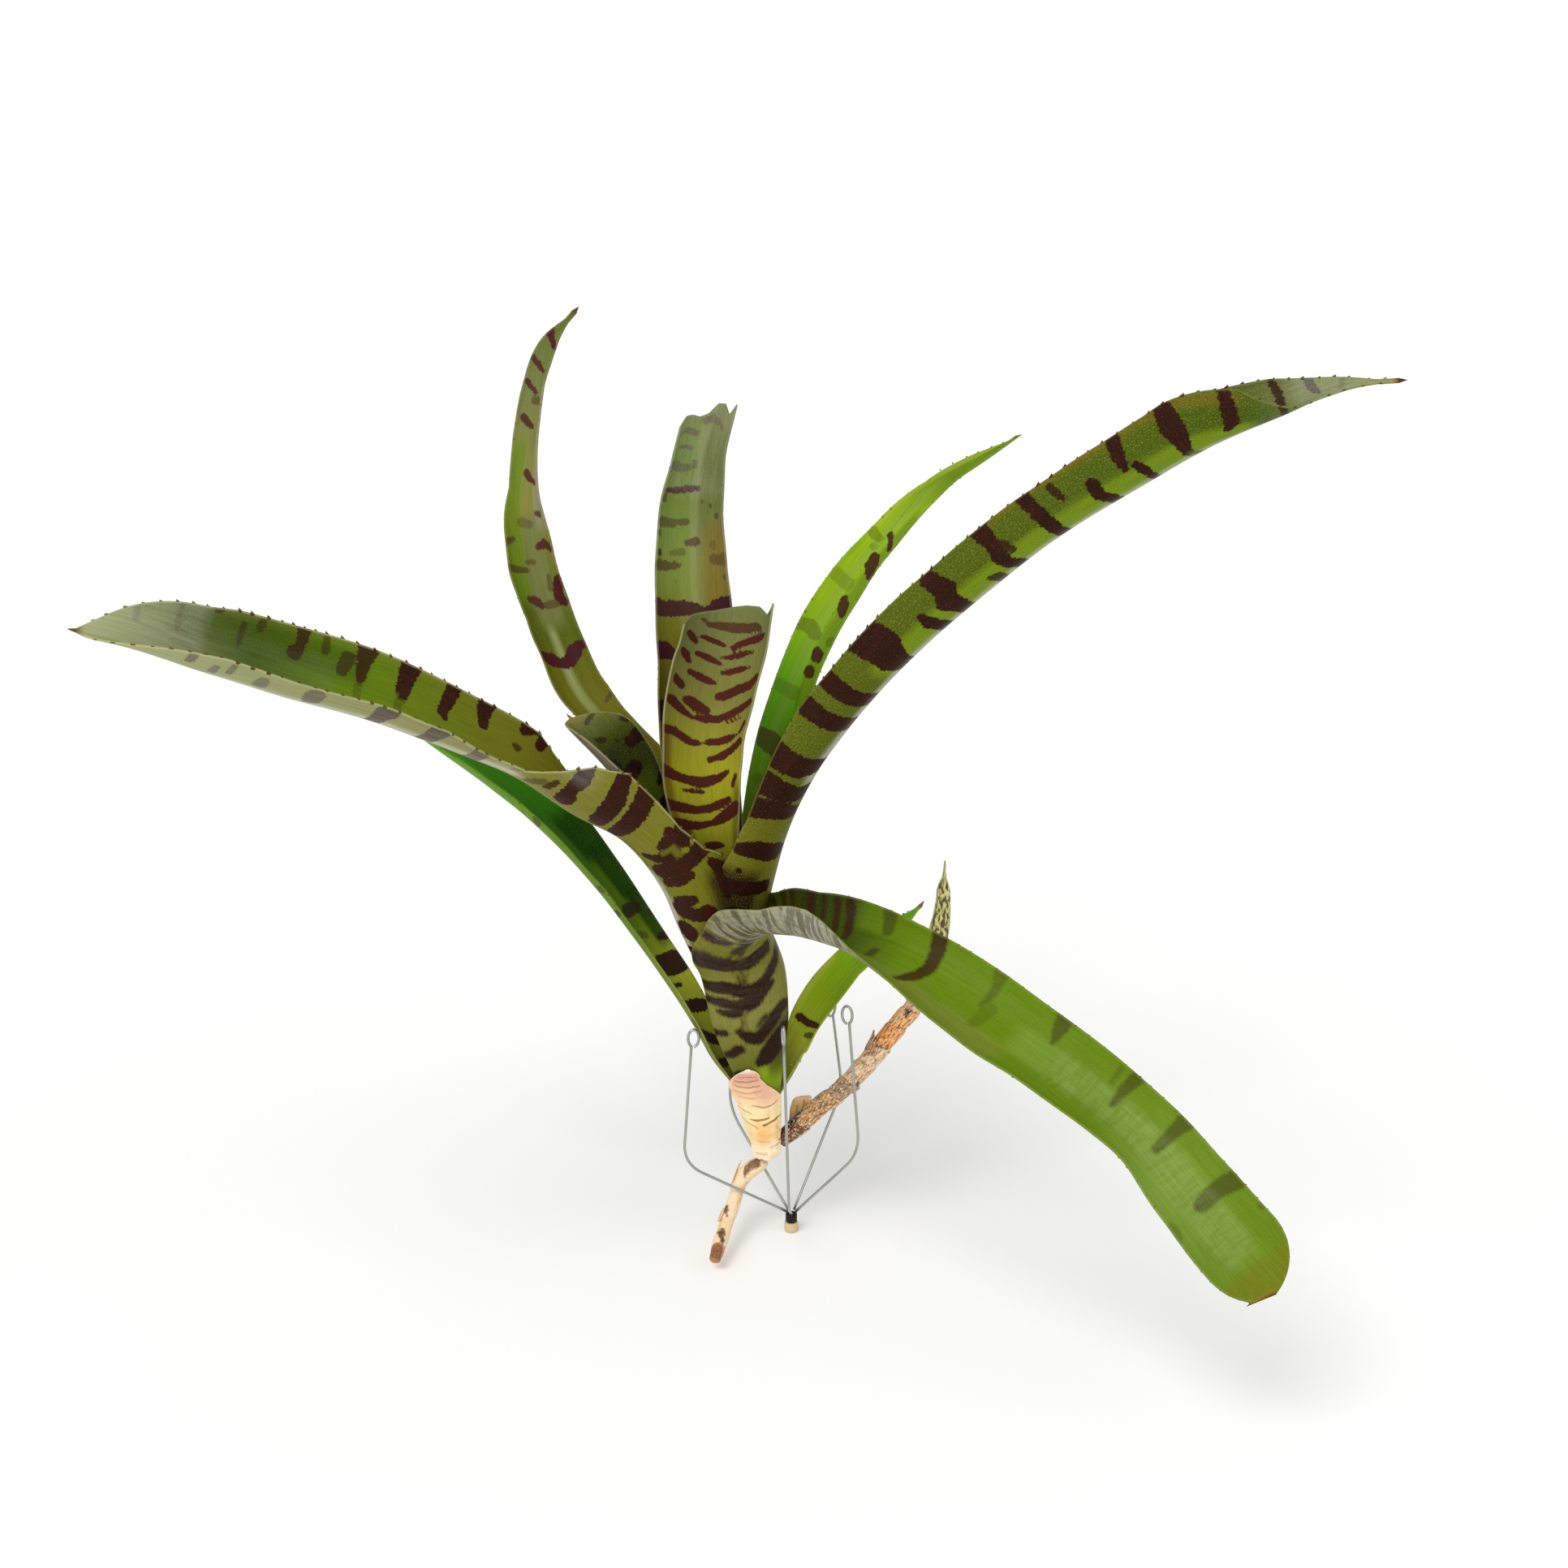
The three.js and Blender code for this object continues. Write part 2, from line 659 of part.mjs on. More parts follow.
function pupGeometry() {
  const distances = distancesAlong(pup.route);
  const rows = Array.from({ length: pup.steps + 1 }, (_, i) =>
    smoothRow(pup.route, distances, (distances.at(-1) * i) / pup.steps),
  );
  const places = rows.map((row) => new THREE.Vector3(...row.slice(0, 3)));
  return barGeometry(places, rows.map((row) => row[3]), pup.sides);
}

function stemGeometry() {
  const shoulder = 5;
  const heights = [stem.bottom, stem.top - shoulder, stem.top];
  const radii = [stem.radius, stem.radius, stem.radius / 2];
  const places = heights.map((height) => tube.foot.clone().addScaledVector(tube.lean, height));
  return barGeometry(places, radii, stem.sides);
}

// One wire of the claw: out of the collar, round its bend, up to its eye, which curls in
// towards the plant and stops just short of closing.
function prongGeometry({ bend, top }) {
  const corner = new THREE.Vector3(...bend);
  const end = new THREE.Vector3(...top);
  const reach = new THREE.Vector3(corner.x, corner.y, 0).normalize();
  const collarTop = claw.footHeight + claw.collarHeight + 2 * claw.seatGap;
  const start = reach.clone().multiplyScalar(claw.wireCircle).setZ(collarTop + claw.wireRadius);
  const before = corner.clone().addScaledVector(corner.clone().sub(start).normalize(), -claw.bendLength);
  const after = corner.clone().addScaledVector(end.clone().sub(corner).normalize(), claw.bendLength);
  const bendCurve = new THREE.QuadraticBezierCurve3(before, corner, after);
  const places = [start, ...bendCurve.getPoints(claw.bendSteps), end];
  const inward = new THREE.Vector3(tube.foot.x - end.x, tube.foot.y - end.y, 0).normalize();
  const startAngle = radians(claw.eyeStart);
  const eyeMiddle = end
    .clone()
    .addScaledVector(inward, (claw.eyeWidth / 2) * Math.cos(startAngle))
    .addScaledVector(up, (-claw.eyeHeight / 2) * Math.sin(startAngle));
  for (let i = 1; i <= claw.eyeSteps; i += 1) {
    const angle = startAngle + (radians(claw.eyeTurn) * i) / claw.eyeSteps;
    places.push(
      eyeMiddle
        .clone()
        .addScaledVector(inward, (-claw.eyeWidth / 2) * Math.cos(angle))
        .addScaledVector(up, (claw.eyeHeight / 2) * Math.sin(angle)),
    );
  }
  return barGeometry(places, places.map(() => claw.wireRadius), claw.sides);
}

// The turned pieces of the claw, as radius and height up their profile.
function footGeometry() {
  const { footRadius: r, footHeight: h, edge } = claw;
  return turned([[0, 0], [r - edge, 0], [r, edge], [r, h - edge], [r - edge, h], [0, h]]);
}

function collarGeometry() {
  const { collarRadius: r, collarHeight: h, edge } = claw;
  const bottom = claw.footHeight + claw.seatGap;
  const profile = [[0, 0], [r, 0], [r, h - edge], [r - edge, h], [0, h]];
  return turned(profile.map(([radius, height]) => [radius, height + bottom]));
}

function turned(profile) {
  const outline = profile.map(([radius, height]) => new THREE.Vector2(radius, height));
  return new THREE.LatheGeometry(outline, claw.turnedSides).rotateX(Math.PI / 2);
}

const plant = new THREE.Group();
Object.entries(leaves).forEach(([name, leaf]) => {
  plant.add(part("leaf_" + name, leafGeometry(leaf), leaf.colour, 0.4));
});
plant.add(part("stem", stemGeometry(), 0xc9b98a, 0.8));
plant.add(part("dry_sheath", leafGeometry(drySheath, false), drySheath.colour, 0.8));
plant.add(part("dry_scale", leafGeometry(dryScale, false), dryScale.colour, 0.8));
plant.add(part("runner", creepingStem(runner), runner.colour, 0.8));
plant.add(part("old_runner_stub", creepingStem(stub), stub.colour, 0.8));
plant.add(part("pup", pupGeometry(), pup.colour, 0.5));

const holder = new THREE.Group();
Object.entries(prongs).forEach(([name, prong]) => {
  holder.add(part("holder_wire_" + name, prongGeometry(prong), 0xb9bcb8, 0.3, 1));
});
holder.add(part("holder_collar", collarGeometry(), 0x3b3c38, 0.4, 1));
holder.add(part("holder_foot", footGeometry(), 0xb9a68a, 0.6));

const specimen = new THREE.Group();
specimen.add(plant, holder);
export default specimen;
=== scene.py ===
import math

import bpy
import numpy as np
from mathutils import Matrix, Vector


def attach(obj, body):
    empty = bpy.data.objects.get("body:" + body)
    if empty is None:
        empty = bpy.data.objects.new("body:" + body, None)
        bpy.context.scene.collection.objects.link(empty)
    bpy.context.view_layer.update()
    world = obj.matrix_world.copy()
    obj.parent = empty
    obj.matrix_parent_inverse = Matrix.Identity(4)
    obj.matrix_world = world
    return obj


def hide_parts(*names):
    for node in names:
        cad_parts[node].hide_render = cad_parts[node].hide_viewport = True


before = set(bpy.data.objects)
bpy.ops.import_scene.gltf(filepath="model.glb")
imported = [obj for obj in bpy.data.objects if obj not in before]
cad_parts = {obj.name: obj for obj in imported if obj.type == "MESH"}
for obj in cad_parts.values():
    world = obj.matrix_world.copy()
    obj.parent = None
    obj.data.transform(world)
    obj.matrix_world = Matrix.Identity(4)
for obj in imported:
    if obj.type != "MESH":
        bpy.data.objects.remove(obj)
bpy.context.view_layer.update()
mm = 0.001
print("frame loaded with", len(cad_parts), "nodes")


def linear(colour):
    # "76902f" as a screen shows it, to the linear values that a shader takes
    parts = [int(colour[i : i + 2], 16) / 255 for i in (0, 2, 4)]
    return [p / 12.92 if p <= 0.04045 else ((p + 0.055) / 1.055) ** 2.4 for p in parts]


class Link:
    # one output socket; arithmetic on it adds Math nodes to its tree
    def __init__(self, tree, socket=None):
        self.tree = tree
        self.socket = socket

    def node(self, kind, settings=None, inputs=None, out=0):
        made = self.tree.nodes.new(kind)
        for name, value in (settings or {}).items():
            setattr(made, name, value)
        for name, value in (inputs or {}).items():
            if isinstance(value, Link):
                self.tree.links.new(value.socket, made.inputs[name])
            else:
                made.inputs[name].default_value = value
        return Link(self.tree, made.outputs[out])

    def math(self, operation, *values):
        return self.node("ShaderNodeMath", {"operation": operation}, dict(enumerate(values)))

    def __add__(self, other):
        return self.math("ADD", self, other)

    def __radd__(self, other):
        return self.math("ADD", other, self)

    def __sub__(self, other):
        return self.math("SUBTRACT", self, other)

    def __rsub__(self, other):
        return self.math("SUBTRACT", other, self)

    def __mul__(self, other):
        return self.math("MULTIPLY", self, other)

    def __rmul__(self, other):
        return self.math("MULTIPLY", other, self)

    def smooth(self, low, high):
        ends = {"Value": self, "From Min": low, "From Max": high}
        return self.node("ShaderNodeMapRange", {"interpolation_type": "SMOOTHSTEP"}, ends)

    def stretched(self, x, y, z=1):
        return self.node("ShaderNodeVectorMath", {"operation": "MULTIPLY"}, {0: self, 1: (x, y, z)})

    def colour(self, value):
        made = self.node("ShaderNodeRGB")
        made.socket.default_value = (*linear(value), 1)
        return made

    def shaded(self, amount):
        # a colour made lighter or darker by a number
        return self.node("ShaderNodeVectorMath", {"operation": "SCALE"}, {0: self, "Scale": amount})

    def noise(self, scale=1, detail=2, roughness=0.5):
        texture = {"Vector": self, "Scale": scale, "Detail": detail, "Roughness": roughness}
        return self.node("ShaderNodeTexNoise", None, texture)

    def attribute(self, name, out=2):
        return self.node("ShaderNodeAttribute", {"attribute_name": name}, None, out)

    def over(self, amount, colour):
        # this colour with another laid over it by a share from 0 to 1
        top = colour if isinstance(colour, Link) else (*linear(colour), 1)
        return self.node("ShaderNodeMix", {"data_type": "RGBA"}, {0: amount, 6: self, 7: top}, 2)


def material(name, fixed):
    # a material whose shader has these fixed values, and a Link to start its graph from
    made = bpy.data.materials.new(name)
    made.use_nodes = True
    shader = made.node_tree.nodes["Principled BSDF"]
    for socket, value in fixed.items():
        shader.inputs[socket].default_value = value
    return made, Link(made.node_tree)


def feed(made, height=None, **sockets):
    # the links that vary over a surface, to the shader's sockets; height is a link, the
    # bump's strength and its distance in millimetres
    tree = made.node_tree
    shader = tree.nodes["Principled BSDF"]
    for name, link in sockets.items():
        socket = {"colour": "Base Color", "roughness": "Roughness"}[name]
        tree.links.new(link.socket, shader.inputs[socket])
    if height:
        bump = tree.nodes.new("ShaderNodeBump")
        bump.inputs["Strength"].default_value = height[1]
        bump.inputs["Distance"].default_value = height[2] * mm
        tree.links.new(height[0].socket, bump.inputs["Height"])
        tree.links.new(bump.outputs[0], shader.inputs["Normal"])
    return made


def addToScene(name, data):
    made = bpy.data.objects.new(name, data)
    bpy.context.scene.collection.objects.link(made)
    return made


def buildMesh(name, points, faces, finish, numbers=None, vectors=None, colours=None):
    # one smooth piece from points in millimetres, with values at its points for its finish
    mesh = bpy.data.meshes.new(name)
    mesh.from_pydata((np.asarray(points) * mm).tolist(), [], faces)
    mesh.polygons.foreach_set("use_smooth", [True] * len(mesh.polygons))
    for key, values in (numbers or {}).items():
        layer = mesh.attributes.new(key, "FLOAT", "POINT")
        layer.data.foreach_set("value", np.asarray(values, np.float32).ravel())
    for key, values in (vectors or {}).items():
        layer = mesh.attributes.new(key, "FLOAT_VECTOR", "POINT")
        layer.data.foreach_set("vector", np.asarray(values, np.float32).ravel())
    for key, values in (colours or {}).items():
        layer = mesh.attributes.new(key, "FLOAT_COLOR", "POINT")
        full = np.concatenate([values, np.ones((len(values), 1))], axis=1)
        layer.data.foreach_set("color", np.asarray(full, np.float32).ravel())
    mesh.materials.append(finish)
    mesh.validate()
    return addToScene(name, mesh)


def settle(piece, node):
    # the piece stands for its CAD node, and rides on the plant's one body
    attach(piece, "root")
    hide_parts(node)
    return piece


tube = {
    "foot": (-9, 2, 31), "lean": (-13, 3, 100), "footRadius": 6, "crownRadius": 17.8,
    "flareHeight": 70, "layerPitch": 1.6, "lowestSheath": 2, "rowHeight": 22,
    "innerRoom": 4.1,
}
blade = {
    "stationPitch": 1.15, "tipPitch": 0.8, "tipCrowding": 1.35, "fewestStations": 8,
    "columns": 32, "columnSpread": 0.86, "thickness": 1.1, "marginThinning": 0.35,
    "leastHalfWidth": 0.9, "spine": 2.8, "rim": 0.22, "cutLength": 30, "dust": 0.01,
    "ripple": 0.35, "rippleFrom": 12, "rippleGrows": 30, "rippleFades": 25, "foldStep": 0.22,
}
tooth = {
    "pitch": 5.2, "jitter": 1.1, "height": 1.1, "base": 1.9, "lead": 1.0, "root": 0.4, "sides": 6,
    "first": 6, "last": 4, "sizes": (0.7, 1.15), "thickness": 0.9,
}


def unit(v):
    return v / np.linalg.norm(v, axis=-1, keepdims=True)


leanAxis = unit(np.array(tube["lean"], float))
tubeFoot = np.array(tube["foot"], float)


def smoothRow(rows, distances, at):
    # a smooth curve through rows of numbers that lie at given distances
    step = np.diff(distances)[:, None]
    rise = np.diff(rows, axis=0) / step
    inner = (rise[1:] * step[:-1] + rise[:-1] * step[1:]) / (step[1:] + step[:-1])
    slopes = np.vstack([rise[:1], inner, rise[-1:]])
    i = np.clip(np.searchsorted(distances[1:-1], at), 0, len(rows) - 2)
    span = step[i, 0]
    t = ((at - distances[i]) / span)[..., None]
    span = span[..., None]
    return (
        (2 * t**3 - 3 * t**2 + 1) * rows[i]
        + (t**3 - 2 * t**2 + t) * span * slopes[i]
        + (3 * t**2 - 2 * t**3) * rows[i + 1]
        + (t**3 - t**2) * span * slopes[i + 1]
    )


def distancesAlong(rows):
    steps = np.linalg.norm(np.diff(np.asarray(rows, float)[:, :3], axis=0), axis=1)
    return np.concatenate([[0], np.cumsum(steps)])


def alongList(values, share):
    return np.interp(share, np.linspace(0, 1, len(values)), values)


def tubeRadius(height):
    t = min(max(height / tube["flareHeight"], 0), 1)
    return tube["footRadius"] + (tube["crownRadius"] - tube["footRadius"]) * t * t * (3 - 2 * t)


def outwardAt(heading):
    flat = np.array([math.cos(math.radians(heading)), math.sin(math.radians(heading)), 0])
    return unit(flat - leanAxis * flat.dot(leanAxis))


def sheathBottom(layer):
    height = tube["lowestSheath"] + layer
    while tubeRadius(height) - layer * tube["layerPitch"] < tube["innerRoom"]:
        height += 1
    return height


def rowsOf(leaf):
    # the sheath's rows on its layer of the tube, then the free midrib's own
    rows = []
    if leaf.get("sheathTop"):
        outward = outwardAt(leaf["heading"])
        bottom = leaf.get("sheathBottom") or sheathBottom(leaf["layer"])
        steps = math.ceil((leaf["sheathTop"] - bottom) / tube["rowHeight"])
        for i in range(steps + 1):
            height = bottom + (leaf["sheathTop"] - bottom) * i / steps
            radius = tubeRadius(height) - leaf["layer"] * tube["layerPitch"]
            wrap = float(alongList(leaf["wrap"], i / steps))
            place = tubeFoot + leanAxis * height + outward * radius
            rows.append([*place, radius * math.radians(wrap), wrap, 0, 0])
    rows += [[*row, 1] for row in leaf["midrib"]]
    return np.array(rows, float)


class LeafSurface:
    # places on a leaf by the distance along its midrib, v from -1 to 1 across, and the
    # offset behind the middle of the blade, all in millimetres
    def __init__(self, leaf):
        self.leaf = leaf
        self.rows = rowsOf(leaf)
        self.distances = distancesAlong(self.rows)
        self.length = self.distances[-1]
        free = distancesAlong(leaf["midrib"])[-1] if leaf["midrib"] else 0
        self.freeFrom = self.length - free
        self.outward = outwardAt(leaf["heading"])
        self.sideways = np.cross(leanAxis, self.outward)

    def row(self, at):
        return smoothRow(self.rows, self.distances, np.asarray(at, float))

    def narrowing(self, at):
        if not self.leaf.get("taper"):
            return np.ones_like(at)
        length, rounding, fullness = self.leaf["taper"]
        t = np.clip(1 - (self.length - at) / length, 0, 1)
        return (1 - t**rounding) ** fullness

    def halfLeft(self, at):
        return np.maximum(self.row(at)[..., 3] * self.narrowing(at), blade["leastHalfWidth"])

    def place(self, at, v, behind):
        at, v, behind = np.broadcast_arrays(*(np.asarray(x, float) for x in (at, v, behind)))
        if self.leaf.get("cut"):
            near = np.clip(1 - (self.length - at) / blade["cutLength"], 0, 1)
            at = at - alongList(self.leaf["cut"], (np.clip(v, -1, 1) + 1) / 2) * near
        row = self.row(at)
        ahead = self.row(np.minimum(at + 0.5, self.length))[..., :3]
        along = unit(ahead - self.row(np.maximum(at - 0.5, 0))[..., :3])
        freeSide = unit(self.sideways - along * (along @ self.sideways)[..., None])
        free = np.clip(row[..., 6:7], 0, 1)
        inward = unit(np.cross(along, freeSide) * free - self.outward * (1 - free))
        side = self.sideways * (1 - free) + freeSide * free
        side = unit(side - inward * (side * inward).sum(-1, keepdims=True))
        roll = np.radians(row[..., 5:6])
        turnedIn = inward * np.cos(roll) + side * np.sin(roll)
        turnedSide = side * np.cos(roll) - inward * np.sin(roll)
        radius = row[..., 3] / np.radians(row[..., 4])
        angle = (v * self.halfLeft(at) / radius)[..., None]
        out = turnedSide * np.sin(angle) - turnedIn * np.cos(angle)
        return row[..., :3] + turnedIn * radius[..., None] + out * (radius + behind)[..., None]


def halfThickness(v):
    return blade["thickness"] / 2 * (1 - blade["marginThinning"] * v * v)


def bandField(surface, bands, at, v):
    # how far each place lies inside the nearest dark band (negative outside it), and how
    # strong that band is; a band is its strength and a path of distance, v, half width
    best = np.full(at.shape, -6.0)
    strength = np.zeros(at.shape)
    for power, *path in bands:
        path = np.array(path if len(path) > 1 else path * 2, float)
        half = surface.row(np.array([path[:, 0].mean()]))[0, 3]
        inside = np.full(at.shape, -9.0)
        for a, b in zip(path, path[1:]):
            run = np.array([b[0] - a[0], (b[1] - a[1]) * half])
            away = np.stack([at - a[0], (v - a[1]) * half])
            t = np.clip(np.tensordot(run, away, 1) / max(run @ run, 1e-6), 0, 1)
            gap = np.hypot(away[0] - t * run[0], away[1] - t * run[1])
            inside = np.maximum(inside, a[2] + (b[2] - a[2]) * t - gap)
        strength = np.where(inside > best, power, strength)
        best = np.maximum(best, inside)
    return best, strength


def scatterBands(seed, start, end, pitch, half, reach, power):
    # irregular cross bands for the stretches of a leaf that have none of their own
    draw = np.random.default_rng(seed)
    bands = []
    at = start
    while at < end:
        middle = draw.uniform(-1, 1)
        width = draw.uniform(*reach)
        bow = draw.uniform(-3, 3)
        path = []
        for step in np.linspace(-1, 1, 4):
            v = float(np.clip(middle + width * step, -1, 1))
            thick = half * draw.uniform(0.45, 1.1) * (1 - 0.3 * abs(step))
            path.append([at + bow * step, v, thick])
        bands.append([draw.uniform(*power), *path])
        at += pitch * draw.uniform(0.6, 1.5)
    return bands


# the tones that the leaves' grounds are mixed from
tones = {
    "straw": "807c38", "olive": "6c6a14", "dun": "7c7a36", "gold": "a09c22", "bronze": "7a5a14",
    "moss": "50580a", "leaf": "5c7808", "pea": "728c34", "lime": "88a610", "pear": "acb434",
    "fresh": "589a08", "emerald": "2e7008", "paintedShadeGreen": "023402", "deep": "3c5004",
    "night": "262c06", "sage": "6a7040", "frost": "949c64", "ash": "8c8c76", "silver": "cccab8",
    "blush": "b8a898", "tan": "b8a478", "umber": "240e06", "rust": "5c2a08",
}


def toneOf(name):
    return np.array(linear(tones.get(name, name)))


def colourAlong(stops, share):
    # colours between stops of [share of the length, tone or colour]
    places = [place for place, _ in stops]
    values = np.array([toneOf(name) for _, name in stops])
    return np.stack([np.interp(share, places, values[:, i]) for i in range(3)], axis=-1)


patchFade = {"along": 6, "across": 0.14}


def patchShare(patch, at, v, outer):
    # how much of a patch shows at each place; its face is 0 for both, 1 inner, 2 outer
    face, start, end, low, high = patch[:5]
    share = np.ones(np.shape(at))
    spans = [(at, start, end, patchFade["along"]), (v, low, high, patchFade["across"])]
    for place, first, last, fade in spans:
        share = share * np.clip((place - first) / fade + 0.5, 0, 1)
        share = share * np.clip((last - place) / fade + 0.5, 0, 1)
    if face:
        share = share * ((outer > 0.5) == (face == 2))
    return share


def patched(ground, patches, at, v, outer):
    # a ground with patches of other colours laid over it; some patches are the leaf's own colours,
    # others painted shade and painted sheen
    for patch in patches:
        cover = patchShare(patch, at, v, outer) * patch[6]
        ground = ground + (toneOf(patch[5]) - ground) * cover[:, None]
    return ground


leafTints = {
    "speck": "a5a84a", "flush": "561c1e", "warm": "3c200c", "bandGrain": "86664e",
    "bloom": "c9c8bc",
}


def leafSkin(name, look):
    made, start = material(name, {"Specular IOR Level": look.get("shine", 0.03)})
    place = start.attribute("place", 1)
    band = start.attribute("band")
    strength = start.attribute("strength")
    rim = start.attribute("rim")
    outer = start.attribute("outer")
    bloom = start.attribute("bloom")
    ground = start.attribute("ground", 0)
    veins = place.stretched(0.02, 1.3).noise(1, 2)
    streaks = place.stretched(0.07, 0.7).noise(1, 3)
    cells = place.stretched(0.42, 1.1).noise(1, 4, 0.65)
    grain = place.stretched(1.5, 2.3).noise(1, 2, 0.6)
    edge = band - look.get("slim", 0.1)
    edge = edge + (cells - 0.5) * look["ragged"] + (streaks - 0.5) * look.get("fingers", 2)
    soft = look.get("soft", 0)
    mask = edge.smooth(-0.3 - soft, 0.35 + soft) * strength
    skin = ground.shaded(0.66 + veins * 0.26 + streaks * 0.42)
    skin = skin.over(grain.smooth(0.5, 0.72) * look.get("speckle", 0.15), leafTints["speck"])
    flush = place.stretched(0.1, 0.22).noise(1, 3)
    dark = start.colour(look["band"])
    dark = dark.over(flush.smooth(0.5, 0.7) * look.get("flushed", 0.3), leafTints["flush"])
    dark = dark.over((1 - outer) * look.get("warm", 0), leafTints["warm"])
    skin = skin.over(mask * (0.92 + cells * 0.16), dark.shaded(0.4 + cells * 1.2))
    worn = mask * grain.smooth(0.58, 0.74) * look.get("bandGrain", 0.1)
    skin = skin.over(worn, leafTints["bandGrain"])
    comb = place.stretched(0.5, 0.08).noise(1, 4, 0.6).smooth(0.47, 0.56) * look.get("comb", 0)
    skin = skin.over(comb * bloom, dark)
    bloom = bloom * (1 - comb)
    scurf = bloom * (grain * 0.8 + streaks * 0.9 - 0.35)
    skin = skin.over(scurf, look.get("bloom", leafTints["bloom"]))
    # the pale margins are partly the leaf's own pale edge and partly painted highlight along its
    # rims
    skin = skin.over(rim.smooth(0.7, 0.1) * look.get("rim", 0.3), look["edge"])
    skin = skin.over(start.attribute("dry") * (0.4 + cells), look["tip"])
    sheen = look["gloss"] + bloom * 0.2 + (cells - 0.5) * 0.2
    height = veins * 0.8 + grain * (0.25 + outer * 0.4)
    return feed(made, colour=skin, roughness=sheen, height=(height, 0.4, 0.25))


def barFrames(places):
    # two directions across a bar at each of its places, without twist
    side, first = np.array([1.0, 0, 0]), []
    tangents = unit(np.gradient(np.asarray(places, float), axis=0))
    for tangent in tangents:
        side = unit(side - tangent * side.dot(tangent))
        first.append(side)
    return np.array(first), np.cross(tangents, first)


def barGrid(places, radii, sides):
    # rings of points down a list of places; radii holds one radius for every point
    first, second = barFrames(places)
    turns = np.arange(sides) * 2 * math.pi / sides
    ring = np.cos(turns)[None, :, None] * first[:, None]
    ring = ring + np.sin(turns)[None, :, None] * second[:, None]
    radii = np.asarray(radii, float).reshape(len(places), -1, 1)
    return np.asarray(places, float)[:, None] + ring * radii


def barFaces(rings, sides):
    faces = []
    for i in range(rings - 1):
        for k in range(sides):
            a, b = i * sides + k, i * sides + (k + 1) % sides
            faces.append([a, b, b + sides, a + sides])
    ring = list(range(sides))
    faces.append(ring[::-1])
    faces.append([(rings - 1) * sides + k for k in ring])
    return faces


def toothShell(surface, at, edge, out, size, lift):
    # one hooked marginal tooth: rings of points from inside the margin to a point ahead;
    # each ring's share of the height, of the width and of the lead
    half = float(surface.halfLeft(np.array([at]))[0])
    high, wide, lead = (tooth[key] * size for key in ("height", "base", "lead"))
    thick = float(halfThickness(1.0)) * tooth["thickness"]
    levels = [(-tooth["root"] / size, 1, 0), (0.02, 1, 0), (0.45, 0.56, 0.22), (0.8, 0.24, 0.62)]
    sides = tooth["sides"]
    rings = []
    for level, share, ahead in levels:
        for k in range(sides):
            angle = 2 * math.pi * k / sides
            s = at + ahead * lead + math.cos(angle) * share * wide / 2
            rings.append((s, edge + out * level * high / half, math.sin(angle) * share * thick))
    rings.append((at + lead, edge + out * high / half, 0.0))
    s, v, behind = np.array(rings).T
    points = surface.place(np.minimum(s, surface.length), v, behind - lift)
    *faces, top = barFaces(len(levels), sides)
    faces += [[top[k], top[(k + 1) % sides], len(rings) - 1] for k in range(sides)]
    if out > 0:
        faces = [face[::-1] for face in faces]
    return points, faces, s, v


def leafStations(leaf, surface):
    # distances of the blade's rows of points, closer together towards a tapered tip
    tipZone = leaf["taper"][0] if leaf.get("taper") else 0
    count = max(int(surface.length / blade["stationPitch"]), blade["fewestStations"])
    stations = np.linspace(0, surface.length - tipZone, count)
    if not tipZone:
        return stations
    steps = np.linspace(0, 1, int(tipZone / blade["tipPitch"]) + 4)[1:]
    fine = 1 - (1 - steps) ** blade["tipCrowding"]
    return np.concatenate([stations, surface.length - tipZone + tipZone * fine])


def marginsOf(leaf):
    # the rows [distance, low v, high v] that the leaf's margins run through
    return np.array(leaf.get("edges", [[0, -1, 1]]), float)


def bladeRipple(leaf, surface, at, v, across, draw):
    # how far the blade lies behind its smooth surface: slight waves that grow towards the
    # margins, and the step where a near margin is folded over the blade
    phase = draw.uniform(0, 6.3, 4)
    free = np.clip((at - surface.freeFrom - blade["rippleFrom"]) / blade["rippleGrows"], 0, 1)
    free = free * np.clip((surface.length - at) / blade["rippleFades"], 0, 1)
    waves = np.sin(at / 7.1 + phase[0] + v) * 0.6 + np.sin(at / 3.9 + phase[1] - 2 * v) * 0.4
    ripple = blade["ripple"] * free * across**2 * waves
    if leaf.get("fold"):
        fold = np.array(leaf["fold"], float)
        past = (v - np.interp(at, fold[:, 0], fold[:, 1])) * surface.halfLeft(at)
        step = np.clip(past / blade["foldStep"], -30, 30)
        ripple = ripple - leaf["lift"] / (1 + np.exp(step))
    return ripple


def gridFaces(fronts, backs):
    # quads over two grids of point numbers, one behind the other
    faces = []
    for i in range(len(fronts) - 1):
        for j in range(fronts.shape[1] - 1):
            faces.append([fronts[i, j], fronts[i + 1, j], fronts[i + 1, j + 1], fronts[i, j + 1]])
            faces.append([backs[i, j], backs[i, j + 1], backs[i + 1, j + 1], backs[i + 1, j]])
    return faces


def shellFaces(f, b):
    # a closed thin shell: two grids and the four sides between them
    faces = gridFaces(f, b)
    for i in range(len(f) - 1):
        faces.append([f[i, 0], b[i, 0], b[i + 1, 0], f[i + 1, 0]])
        faces.append([f[i, -1], f[i + 1, -1], b[i + 1, -1], b[i, -1]])
    for j in range(f.shape[1] - 1):
        faces.append([f[0, j], f[0, j + 1], b[0, j + 1], b[0, j]])
        faces.append([f[-1, j], b[-1, j], b[-1, j + 1], f[-1, j + 1]])
    return faces


